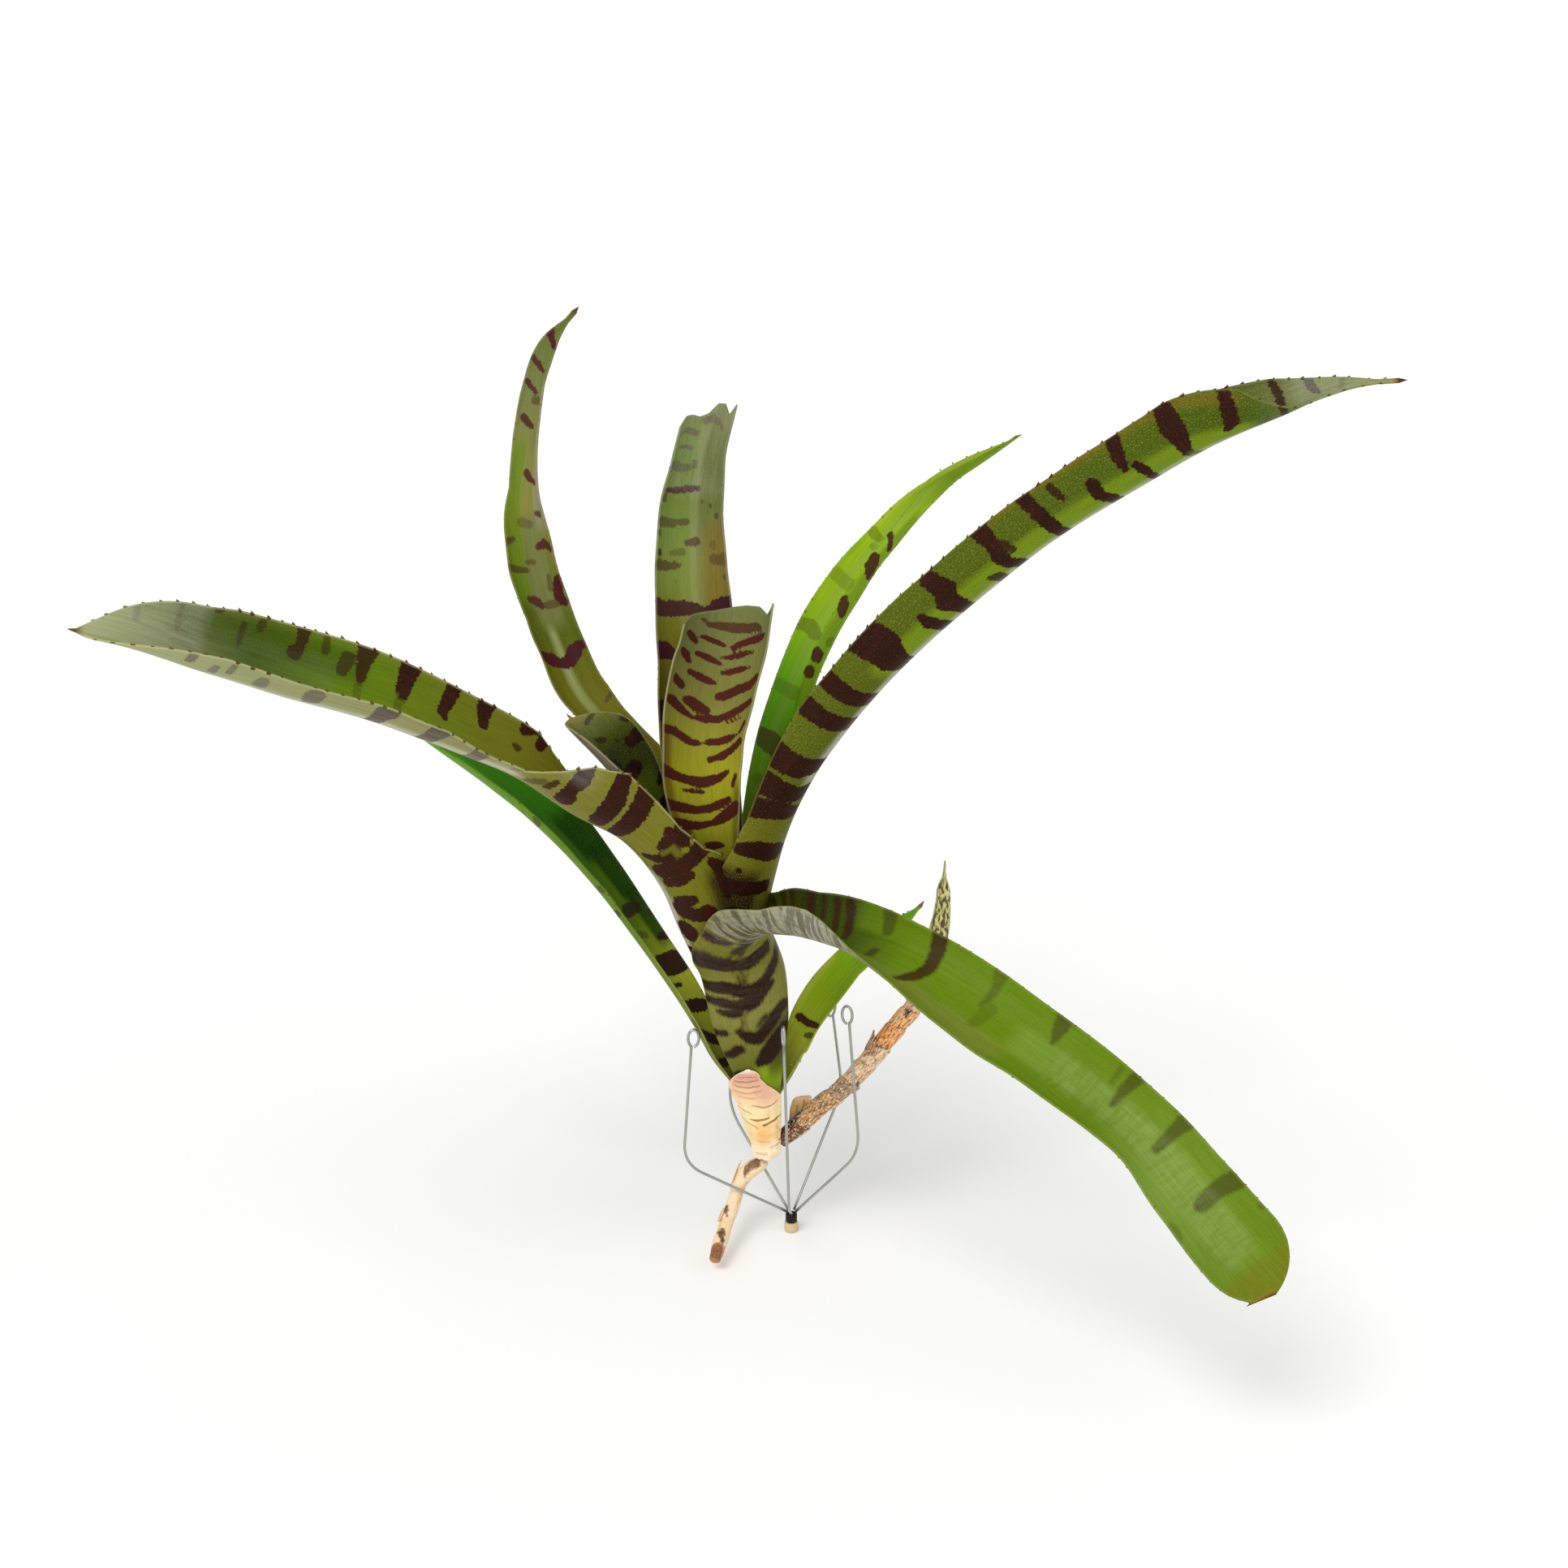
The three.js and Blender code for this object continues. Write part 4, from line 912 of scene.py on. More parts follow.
# the short blunt leaf on the left
leftShort = {
    "node": "leaf_left_short", "seed": 13, "heading": 170, "layer": 6, "sheathTop": 104,
    "wrap": [48, 42], "dryTip": 3, "teeth": 0.8,
    "midrib": [
        [-41, 1, 158, 9, 46, -14], [-53, 1, 177, 15.5, 56, -10], [-62.5, 4, 189, 20, 56, 0],
        [-71, 8, 199.5, 21, 52, 4], [-83, 14, 211, 20.5, 46, 5],
    ],
    "taper": [17, 2.2, 0.5],
    "innerGround": [
        [0, "moss"], [0.6, "deep"], [0.78, "night"], [0.88, "night"], [0.96, "moss"], [1, "dun"],
    ],
    "outerGround": [[0, "straw"], [0.6, "ash"], [0.85, "blush"], [1, "ash"]],
    # the umber patch at 112-130 along is painted shade at the edge of the shadow across the blade
    "patches": [
        [1, 112, 127, -0.85, -0.3, "deep", 0.7], [1, 112, 130, -0.25, 0.3, "umber", 0.8],
        [2, 116, 150, -0.3, 0.6, "ash", 0.6],
    ],
    "scurf": [[2, 100, 158, -1, 1, 0.3], [1, 148, 158, -1, 0.3, 0.1]],
    "look": {
        "band": "1a0a03", "ragged": 2.6, "fingers": 2.4, "edge": "a8a878", "rim": 0.4,
        "tip": "8a7a48", "gloss": 0.42, "speckle": 0.2,
    },
    "innerBands": bands(
        "129.5,-.5,3.4 129,-.3,3.2; 139.5,-1,2.8 139,-.72,2.4; 120,-1,2.4 119,-.9,1.8; "
        ".8:147,-.95,1.8; .8:134,-.15,2 137,0,1.8; .8:146,-.1,1.6 145,-.3,1.2; .8:154,-.25,.9 "
        "156,-.9,1; .6:142,-.5,1.2; .6:124,-.6,1; 112,-.95,2 110,-.5,2.4"
    ),
    "outerBands": scatterBands(132, 60, 150, 10, 2.6, (0.2, 0.8), (0.4, 0.8)),
}
makeLeaf(leftShort)

# the tall narrow leaf behind on the left, twisted towards its tip
backLeft = {
    "node": "leaf_back_left", "seed": 17, "heading": 122, "layer": 4, "sheathTop": 106,
    "wrap": [60, 56], "dryTip": 2, "teeth": 0.3,
    "midrib": [
        [-36, 19, 160, 11, 56, 0], [-50, 28, 181, 11, 58, 0], [-66, 34, 196, 11, 60, 0],
        [-82, 41, 211, 12, 60, 0], [-91, 49, 228, 11.5, 60, 0], [-98.5, 56, 246, 12, 60, 6],
        [-101.5, 62, 263, 10.5, 60, 20], [-103, 69, 284, 9.2, 62, 46],
        [-100.5, 76, 305, 8, 64, 61], [-98, 82, 323, 7.5, 64, 60], [-93, 88, 340, 7.5, 56, 50],
        [-84, 92.5, 350.5, 5, 50, 45],
    ],
    "taper": [44, 1.5, 1],
    "edges": [
        [140, -0.82, 1], [160, -0.86, 1], [172, -1, 1], [200, -1, 0.96], [210, -1, 0.74],
        [220, -1, 0.84], [227, -1, 0.98], [245, -1, 0.98], [251, -1, 0.9], [260, -0.86, 0.72],
        [270, -0.68, 0.82], [280, -0.5, 0.92], [290, -0.42, 0.92], [300, -0.5, 0.96],
        [308, -0.85, 1], [316, -1, 1],
    ],
    "innerGround": [
        [0, "straw"], [0.5, "olive"], [0.6, "moss"], [0.76, "dun"], [0.9, "sage"], [1, "moss"],
    ],
    "outerGround": [[0, "dun"], [1, "sage"]],
    # the frost patch along the midrib at 165-205 is a painted sheen
    "patches": [
        [1, 165, 205, -0.2, 0.12, "frost", 0.7], [1, 160, 205, 0.3, 1.1, "olive", 0.5],
        [1, 197, 218, 0.05, 1.1, "moss", 0.8], [1, 205, 250, -0.65, 0.2, "sage", 0.75],
        [1, 216, 278, 0.2, 1.1, "leaf", 0.75], [1, 244, 300, -1.1, -0.42, "ash", 0.6],
    ],
    "look": {
        "band": "421418", "ragged": 1.5, "fingers": 1.8, "edge": "a89c70", "rim": 0.2,
        "tip": "5a4020", "gloss": 0.34, "shine": 0.05,
    },
    "innerBands": bands(
        "194,-.95,1.9 194,-.75,2.3 192.5,-.5,3.3 190,-.25,2.9 189.5,-.1,2.3 190.5,.1,2.3 "
        "192.5,.4,3.1 194,.7,2.7 194.5,.95,2.5; 212.5,-.85,2 214.5,-.72,2.4 218,-.75,2.2 "
        "221,-.85,2.6 223,-.92,2.2; .6:213,-.55,1.8 213.5,-.3,2; .9:214,-.05,1.6 216.5,.1,2 "
        "217.5,.3,1.4; .5:219.5,-.5,1.2 225,-.55,1.2; .9:235.5,-.9,1.4 238,-.65,2 237,-.4,1.6; "
        ".7:228.5,.2,1.2 229,.6,1.5 230,.95,1.6; .5:231.5,-.1,1.4 231.5,.1,1.4; .7:240,.95,1.6 "
        "241,.6,1.2; .4:246,-.1,1.8 247,.2,2; .8:249.5,-.7,1.6 250,-.52,1.2; .9:262,-.6,1 "
        "264,-.25,1.6 266,0,1.6; .9:284,0,1.2 285.5,.3,1.6 287.5,.55,1.6; .6:294,-.15,1.8 "
        "294,.05,1.6; .9:297,0,1 299,.4,1.2 301,.8,1.3; .9:305.5,-.3,1 307.5,.2,1.3 310,.9,1.4; "
        "316,-.9,1.6 318,-.3,1.8 320,.3,2 321,1,2; .5:168,-.9,1.2 167,-.6,1"
    ),
    "outerBands": scatterBands(172, 70, 320, 12, 2.4, (0.2, 0.9), (0.5, 0.9)),
}
makeLeaf(backLeft)

# the upright leaf behind, cut off at its top
backCentre = {
    "node": "leaf_back_centre", "seed": 19, "heading": 97, "layer": 7, "sheathTop": 110,
    "wrap": [52, 54], "dryTip": 0, "teeth": 0.45,
    "midrib": [
        [-30, 16, 168, 13, 60, 0], [-35, 21, 192, 17.5, 64, 0], [-36.3, 27, 214, 18.5, 66, 0],
        [-36.6, 33, 232, 18.2, 66, 0], [-38.5, 43, 261, 16.5, 62, 0], [-38, 51, 284, 14, 60, 0],
        [-35, 57, 303, 11.5, 58, 0], [-30, 62, 323, 11, 56, 0],
    ],
    "cut": [0.5, 5, 1, 1.5, 6, 8, 8, 9, 14],
    "innerGround": [
        [0, "straw"], [0.5, "bronze"], [0.68, "dun"], [0.8, "sage"], [0.9, "moss"], [1, "sage"],
    ],
    "outerGround": [[0, "dun"], [1, "sage"]],
    # the frost strip along the midrib at 110-245 is a painted sheen
    "patches": [
        [1, 110, 180, 0.3, 1.1, "olive", 0.75], [1, 170, 205, -1.1, -0.35, "bronze", 0.5],
        [1, 175, 250, 0, 1.1, "pea", 0.5], [1, 110, 245, -0.16, 0.02, "frost", 0.4],
    ],
    "scurf": [[1, 215, 255, -1.1, 1.1, 0.2]],
    "look": {
        "band": "3e1c22", "ragged": 1.7, "fingers": 2.4, "edge": "a8a488", "rim": 0.25,
        "tip": "8a7a58", "gloss": 0.42, "bandGrain": 0.16,
    },
    "innerBands": bands(
        "134,.85,3.9 134,1,3.9; 155,.55,2.5 156.5,.75,3.9 156.5,1,3.9; 172,-.95,3.7 172,-.6,3.3 "
        "171,-.38,2.1; .95:170.5,-.25,1.9 172,0,2.7 172.5,.25,3.1 172.5,.5,3.3 172.5,.75,3.1 "
        "173.5,1,3.5; .5:190,-.95,2.7 190.5,-.6,2.1; .7:188.5,.3,1.4 188,.6,1.8 188.5,.9,2.4; "
        ".9:193,.9,1.6; .7:197.5,-.15,1.8 197,.05,1.4; .4:193.5,.2,1.6 193,.5,1.2; .3:196,-.6,1.8; "
        ".6:207.5,-.75,1.4; .6:205,.1,1.6 204.5,.3,1.6; .6:204,.5,1.8 204,.9,2; .7:211.5,-.53,1; "
        ".7:213,-.3,1; .5:182.5,.35,.8; 218,-.12,1.2 217.3,.15,1.6 216,.5,1.4 215.5,.85,1.2; "
        ".6:212.5,.9,1.6; .5:227,.1,1.6 225,.5,2.4 226,.9,3; .5:229,.1,1.4; .5:236,.35,1.3 "
        "236,.75,1.3; .5:244,.3,2 245,.8,1.8; .5:248,-.1,1.6 250,.05,1.4; .5:244.5,-.6,1.4 "
        "246,-.3,1.4; .5:183,-.9,1.4; .6:200,.95,1.4"
    ),
    "outerBands": scatterBands(192, 70, 245, 12, 2.6, (0.3, 1), (0.5, 0.9)),
}
makeLeaf(backCentre)

# the leaf behind on the right; its near margin is folded over the blade
backRight = {
    "node": "leaf_back_right", "seed": 23, "heading": 52, "layer": 3, "sheathTop": 92,
    "wrap": [52, 40], "dryTip": 2, "teeth": 0.45,
    "midrib": [
        [-14, 17, 141, 8, 44, 0], [-12, 21, 157, 9, 48, 0], [-9, 24, 170, 10, 54, 0],
        [-5, 27, 183, 12, 60, 0], [0, 32, 196, 13.5, 62, 0], [6, 38, 212, 14, 62, 0],
        [16, 49, 232, 15, 62, 0], [29, 60, 250, 15, 60, 0], [43, 70, 265, 13.5, 58, 0],
        [58, 78, 280, 12, 55, 0], [75, 86, 292, 10, 50, 0], [89, 91.8, 301, 8, 45, 0],
    ],
    "taper": [60, 1.6, 0.9],
    "edges": [
        [105, -1, 1], [140, -0.6, 1.04], [165, -0.2, 1.05], [200, -0.12, 1.04], [222, -0.04, 1.03],
        [240, 0.04, 1], [262, 0.06, 1.04], [272, 0.12, 1.2], [284, 0.1, 1.45], [296, -0.1, 1.6],
    ],
    "fold": [
        [110, 0.6], [140, 0.42], [158, 0.18], [168, 0.26], [185, 0.33], [210, 0.36], [235, 0.48],
        [250, 0.6], [262, 0.92], [270, 1.3], [300, 1.8],
    ],
    "lift": 0.8,
    "innerGround": [
        [0, "straw"], [0.36, "leaf"], [0.55, "fresh"], [0.68, "lime"], [0.8, "lime"],
        [0.9, "leaf"], [1, "leaf"],
    ],
    "outerGround": [[0, "straw"], [1, "sage"]],
    "patches": [
        [1, 160, 250, -1.1, 0.3, "leaf", 0.8], [1, 140, 260, 0.42, 0.7, "pea", 0.4],
        [1, 236, 300, 0.9, 1.7, "pear", 0.4],
    ],
    "look": {
        "band": "3b2309", "ragged": 1.5, "fingers": 1.8, "edge": "8ca04c", "rim": 0.25,
        "tip": "6c6a24", "gloss": 0.36, "shine": 0.05,
    },
    "innerBands": bands(
        "173.5,.08,1.6 174.5,.18,2.8 175.5,.24,1.8; 180,.05,1.8 181.5,.15,3 183,.25,2; "
        ".4:188,-.05,2.4; 200,.05,1.8 203,.18,2.8 206,.3,2; 219,0,2.2 221,.12,2.6 223,.3,2.2; "
        "224,.1,1.6 226,.3,2.6 227,.38,1.8; 232,.08,1.2 235,.25,1.3 237.5,.42,1.6; .75:142,.4,3.4 "
        "144,.6,4.6 145,.98,3.8; .3:165,.45,3 166,.95,2.6; .45:189,.5,2.6 191,.75,2.8 190,1,2.6; "
        ".3:212,.45,2.8 213,.9,2.8; .3:230,.6,1.6; .4:234,.65,2 234.5,.9,2.2; .3:129,.7,2.4"
    ),
    "outerBands": scatterBands(232, 60, 290, 12, 2.4, (0.3, 1), (0.5, 0.9)),
}
makeLeaf(backRight)

# the young leaf in the middle, with close chevron bands
centreYoung = {
    "node": "leaf_centre_young", "seed": 29, "heading": 90, "layer": 8, "sheathTop": 112,
    "wrap": [50, 54], "dryTip": 0, "teeth": 0.25,
    "midrib": [
        [-28, 9, 157, 10, 60, 0], [-31, 9, 169, 14.5, 66, 0], [-33, 11, 187, 19, 72, 0],
        [-32.4, 14, 206, 21, 76, 0], [-29.6, 17, 222, 22.8, 80, 0],
        [-25.6, 20, 238, 23.4, 84, 0], [-21.6, 22, 259, 22.4, 84, 0],
    ],
    "cut": [0, 6, 4, 5, 7, 9, 10, 11, 14],
    "edges": [[92, -0.96, 1], [104, -0.88, 1], [116, -0.92, 1], [126, -1, 1]],
    "innerGround": [[0, "olive"], [0.48, "gold"], [0.6, "gold"], [0.75, "dun"], [1, "sage"]],
    "outerGround": [[0, "dun"], [1, "sage"]],
    "patches": [
        [1, 60, 86, 0.5, 1.1, "umber", 0.8], [1, 60, 120, 0.72, 1.1, "rust", 0.6],
        [1, 60, 100, -1.1, -0.7, "umber", 0.5],
    ],
    "look": {
        "band": "4a2018", "ragged": 1, "slim": 0.3, "flushed": 0.8, "fingers": 1.4,
        "edge": "b0aa84", "rim": 0.45, "tip": "8a7a58", "gloss": 0.4, "speckle": 0.05,
    },
    "innerBands": bands(
        "73.5,-.3,1.2 74,0,2.2 75,.25,1.4; 72,.5,2.2 73,1,2.2; 66,-.8,2 64,0,2.4 67,.8,2; "
        "90,-.85,3.2 87,-.6,3 84.5,-.35,2.6 83,-.1,1.6; 83,.02,1.6 83,.25,1.8 84.3,.55,2.2 "
        "86.5,.9,2.6; 92.5,-.58,1.8 90.5,-.35,2.1 88.8,-.05,2 89,.25,1.9 91,.58,2.2 93.5,.95,2.6; "
        "98.5,-.66,1.4 103,-.74,1.4; 104,-.52,1.2 101,-.32,2 99.3,-.05,2.6 99.5,.15,2.4 "
        "101.3,.45,1.9 104,.75,2.2 106,1,2.5; 95.5,.05,1.2 96.3,.3,1.1 97.5,.52,.7; 118,-.82,1.8 "
        "113.5,-.6,1.7 110,-.38,1.9 107.8,-.1,1.6; 119.8,-.66,1 117.3,-.48,1.9 115.2,-.26,1.8 "
        "114.6,-.05,1.6; 114,.1,1.4 114.2,.25,1.7 116,.42,1.8 118.5,.65,1.9 119.8,.98,1.7; "
        "121,-.74,1.2 126,-.86,1.4; 135,-.88,1.6 130.5,-.62,1.9 127,-.42,1.9 124,-.2,1.8 "
        "123.2,.05,1.8 123.5,.18,1.4; .9:127,-.68,.9 123.5,-.4,.9; 123.3,.28,1.1 125.8,.5,1.8 "
        "129,.76,2.3 130,.92,1.8; 126.5,0,1.4 127.5,.2,2.6 129.3,.38,2.3 129.8,.5,1.2; "
        "145,-.88,2.2 140.5,-.7,2.2 137.5,-.47,2.3 133.5,-.24,2.1 132.5,-.12,1.9; 137.2,-.04,1.1 "
        "137.8,.15,1.8 139.3,.4,1.6 139.8,.5,1.2; 134.5,.56,1.8 137,.78,2; 147.5,-.56,1.1 "
        "145.2,-.38,1.8 142.6,-.2,1.6 141.5,-.07,1; 145,-.04,1.2 146.8,.18,2.2 148.6,.4,1.8; "
        "143.5,.53,1.6 147.5,.66,2.8 151,.8,1.8; 154.5,-.58,1 152.3,-.4,1.6 149.5,-.18,1.7 "
        "148.3,-.03,1.1; 154.3,-.03,1.2 156.3,.15,1.7 159,.38,1.6; 155,.48,1.4 159,.6,2.4 "
        "163,.74,1.8; 164,-.77,1.6 159,-.52,1.9 156,-.28,1.8 153.5,-.16,1.6; .85:166,-.62,1.8 "
        "163.5,-.38,2.6 163,-.15,2.8 164.5,.1,2.4 166,.3,1.8; .8:168,.38,1.2 170,.47,1.2"
    ),
    "outerBands": scatterBands(292, 70, 170, 8, 2.2, (0.3, 1), (0.6, 0.9)),
}
makeLeaf(centreYoung)

# the small bright leaf low on the right
rightLower = {
    "node": "leaf_right_lower", "seed": 31, "heading": 25, "layer": 2, "sheathTop": 24,
    "wrap": [50, 50], "dryTip": 2, "teeth": 0.3,
    "midrib": [
        [-1, 8, 66, 7, 50, 0], [4.3, 9, 77, 9.3, 54, 0], [9, 11, 86, 11.3, 58, 0],
        [15, 14, 93.6, 12.8, 58, 0], [22.4, 18, 101.2, 13.4, 55, 0],
        [32.3, 25, 110, 12.5, 50, 0], [42.3, 32, 119, 10.8, 45, 0], [51, 38, 125, 8.5, 40, 0],
    ],
    "taper": [30, 1.4, 1],
    "edges": [
        [24, -1, 1], [40, -0.5, 1.05], [60, -0.26, 1.03], [70, -0.12, 1], [80, -0.3, 1],
        [95, -1, 1],
    ],
    "fold": [[20, -3], [34, -0.6], [40, 0.86], [60, 0.86], [74, 0.95], [84, 1.4], [108, 1.5]],
    "lift": -0.7,
    "innerGround": [[0, "olive"], [0.3, "pear"], [0.5, "lime"], [1, "fresh"]],
    "outerGround": [[0, "straw"], [1, "sage"]],
    "patches": [[1, 36, 72, 0.86, 1.1, "pear", 0.7]],
    "look": {
        "band": "3c240c", "ragged": 1.4, "fingers": 1.6, "edge": "a8b04c", "rim": 0.25,
        "tip": "7c5a34", "gloss": 0.35, "shine": 0.05,
    },
    "innerBands": bands(
        ".8:40,-.4,1.2 39,-.1,1.4 38,.15,1; 45,-.9,1 44.5,-.5,1.2 43.5,0,1.5 42.5,.3,1.7 "
        "42.5,.75,1.6; .6:78,-.2,1.6 79,.3,1.6; .5:97,0,1.4"
    ),
    "outerBands": scatterBands(312, 20, 100, 11, 1.8, (0.3, 0.9), (0.4, 0.8)),
}
makeLeaf(rightLower)
print("ten leaves made")


husk = {"rows": 110, "columns": 73, "crowding": 0.95, "halfThickness": 0.42, "raggedFrom": 9}


def huskSkin(name, look):
    made, start = material(name, {"Specular IOR Level": 0.25})
    place = start.attribute("place", 1)
    rim = start.attribute("rim")
    band = start.attribute("band")
    fibres = place.stretched(0.05, 1.9).noise(1, 3, 0.6)
    ripples = place.stretched(0.75, 0.1).noise(1, 4, 0.6)
    blots = place.stretched(0.3, 0.35).noise(1, 3)
    skin = start.attribute("ground", 0).shaded(0.84 + fibres * 0.14 + blots * 0.2)
    skin = skin.over(ripples.smooth(0.54, 0.68) * look["ripples"], look["line"])
    fold = (band + (blots - 0.5) * 0.8).smooth(-0.35, 0.15) * start.attribute("strength")
    skin = skin.over(fold, look["fold"])
    skin = skin.over(rim.smooth(0.7, 0.15) * 0.6, look["rim"])
    height = fibres * 0.5 + ripples + fold
    return feed(made, colour=skin, roughness=0.6 + fibres * 0.25, height=(height, 0.5, 0.3))


# the dead sheath round the foot of the tube
drySheath = {
    "node": "dry_sheath", "seed": 37, "heading": 262, "layer": 0, "sheathBottom": 2,
    "sheathTop": 46, "wrap": [62, 64], "midrib": [], "taper": [17, 1.8, 0.8], "ragged": 1.6,
    "edges": [
        [0, -0.9, 1], [8, -0.68, 1], [20, -0.8, 1.1], [28, -0.8, 1], [32, -0.92, 0.78],
        [36, -1, 0.56], [40, -0.95, 0.5], [45, -1, 1],
    ],
    "ground": [
        [0, "f7dfbe"], [0.16, "f5dcb8"], [0.24, "f0c68c"], [0.36, "f2cf94"], [0.44, "f6dda6"],
        [0.58, "f5d8a8"], [0.7, "efc59c"], [0.8, "e8bb98"], [0.86, "d9a58e"], [0.95, "d4a090"],
        [1, "fff4ea"],
    ],
    "patches": [
        [0, 8, 17, -0.15, 0.3, "e8ac5c", 0.6], [0, 28, 36, 0.05, 0.6, "d8a08c", 0.6],
        [0, 8, 30, -1.1, -0.7, "f4cba4", 0.6], [0, 30, 42, -1.1, -0.85, "f2d49a", 0.8],
    ],
    "folds": bands(
        ".5:41,-.6,.2 41.4,0,.25 41,.4,.2; .55:39,-.7,.25 39,0,.3 39.5,.35,.2;"
        ".6:36.6,-.7,.25 36,-.2,.35 36.6,.3,.25; .4:34,-.75,.3 33.2,-.2,.4 34,.3,.3;"
        ".35:31,-.5,.3 30.4,0,.4; .55:27,-.62,.4; .6:27.2,-.1,.2 25.6,.25,.4 25.4,.5,.35 27,.8,.2;"
        ".5:26,-.85,.2 24.6,-.5,.3 23,-.2,.2; .5:22,-.95,.2 18.8,-.5,.35 16,-.1,.25;"
        ".85:20,-.3,.25 19.6,0,.5 20,.45,.3; .9:17,.2,.4 18,.55,.4 19.2,1.05,.25;"
        ".3:15,.75,.3 12,1,.3; .8:8.4,.92,.5; .5:6.2,.4,.2 7,1,.3; .3:10,-.2,.3 9,.3,.3;"
        ".25:4,-.3,.8 3.6,.1,.6"
    ),
    "look": {"line": "d9a878", "fold": "8f5c2c", "rim": "f6e2c0", "ripples": 0.28},
}
# the small dead scale behind the runner
dryScale = {
    "node": "dry_scale", "seed": 41, "heading": 290, "ragged": 0.3,
    "midrib": [
        [2, 8, 43, 3, 50, 0], [3.5, 8.8, 47, 4.4, 50, 0], [4.6, 9.2, 51, 4.6, 45, 0],
        [5, 9.2, 55, 4, 40, 0],
    ],
    "taper": [2.6, 3, 0.5],
    "ground": [[0, "c8a070"], [0.4, "d9b27c"], [0.8, "dcb884"], [1, "ecd0a0"]],
    "patches": [[0, 2, 12, 0.55, 1.1, "f4e2bc", 0.9]],
    "folds": bands(".8:9,.3,.5 6,.5,.7 3,.35,.6; .5:8,-.5,.3 4,-.3,.4; .6:11,0,.3 7,.05,.25"),
    "look": {"line": "9a6c38", "fold": "74481c", "rim": "d9b884", "ripples": 0.5},
}


def makeHusk(spec):
    # a thin dead leaf with a ragged start, fine folds along it and no teeth
    surface = LeafSurface(spec)
    draw = np.random.default_rng(spec["seed"])
    stations = np.linspace(0, 1, husk["rows"]) ** husk["crowding"] * surface.length
    across = np.linspace(-1, 1, husk["columns"])
    sides = marginsOf(spec)
    low, high = (np.interp(stations, sides[:, 0], sides[:, i]) for i in (1, 2))
    at, v = np.meshgrid(stations, across, indexing="ij")
    v = ((low + high) / 2)[:, None] + ((high - low) / 2)[:, None] * v
    phase = draw.uniform(0, 6.3, 6)
    notch = sum(np.sin(across * k * 2.3 + phase[i]) / k for i, k in enumerate((2, 5, 9, 14)))
    near = np.clip(1 - at / husk["raggedFrom"], 0, 1)
    at = at + (0.6 + 0.5 * notch)[None, :] * spec["ragged"] * near
    fold = 0.12 * np.sin(v * 17 + phase[4] + at * 0.04) + 0.1 * np.sin(at * 1.3 + v * 2 + phase[5])
    thick = husk["halfThickness"] * (1 - 0.3 * v * v)
    points = [surface.place(at, v, fold + side * thick).reshape(-1, 3) for side in (-1, 1)]
    fronts = np.arange(at.size).reshape(at.shape)
    width = surface.halfLeft(np.clip(at, 0, surface.length))
    rim = ((1 - np.abs(across))[None, :] * width).ravel()
    at, v, width = at.ravel(), v.ravel(), width.ravel()
    band, power = bandField(surface, spec["folds"], at, v)
    ground = colourAlong(spec["ground"], at / surface.length)
    ground = patched(ground, spec["patches"], at, v, at * 0)
    place = np.stack([at, v * width, at * 0 + spec["seed"]], axis=-1)
    numbers = {"rim": rim, "band": band, "strength": power}
    piece = buildMesh(
        spec["node"] + "_husk", np.concatenate(points), shellFaces(fronts, fronts + at.size),
        huskSkin(spec["node"] + "_skin", spec["look"]),
        {key: np.tile(values, 2) for key, values in numbers.items()},
        {"place": np.tile(place, (2, 1))}, {"ground": np.tile(ground, (2, 1))},
    )
    return settle(piece, spec["node"])


makeHusk(drySheath)
makeHusk(dryScale)
print("dead sheath and scale made")


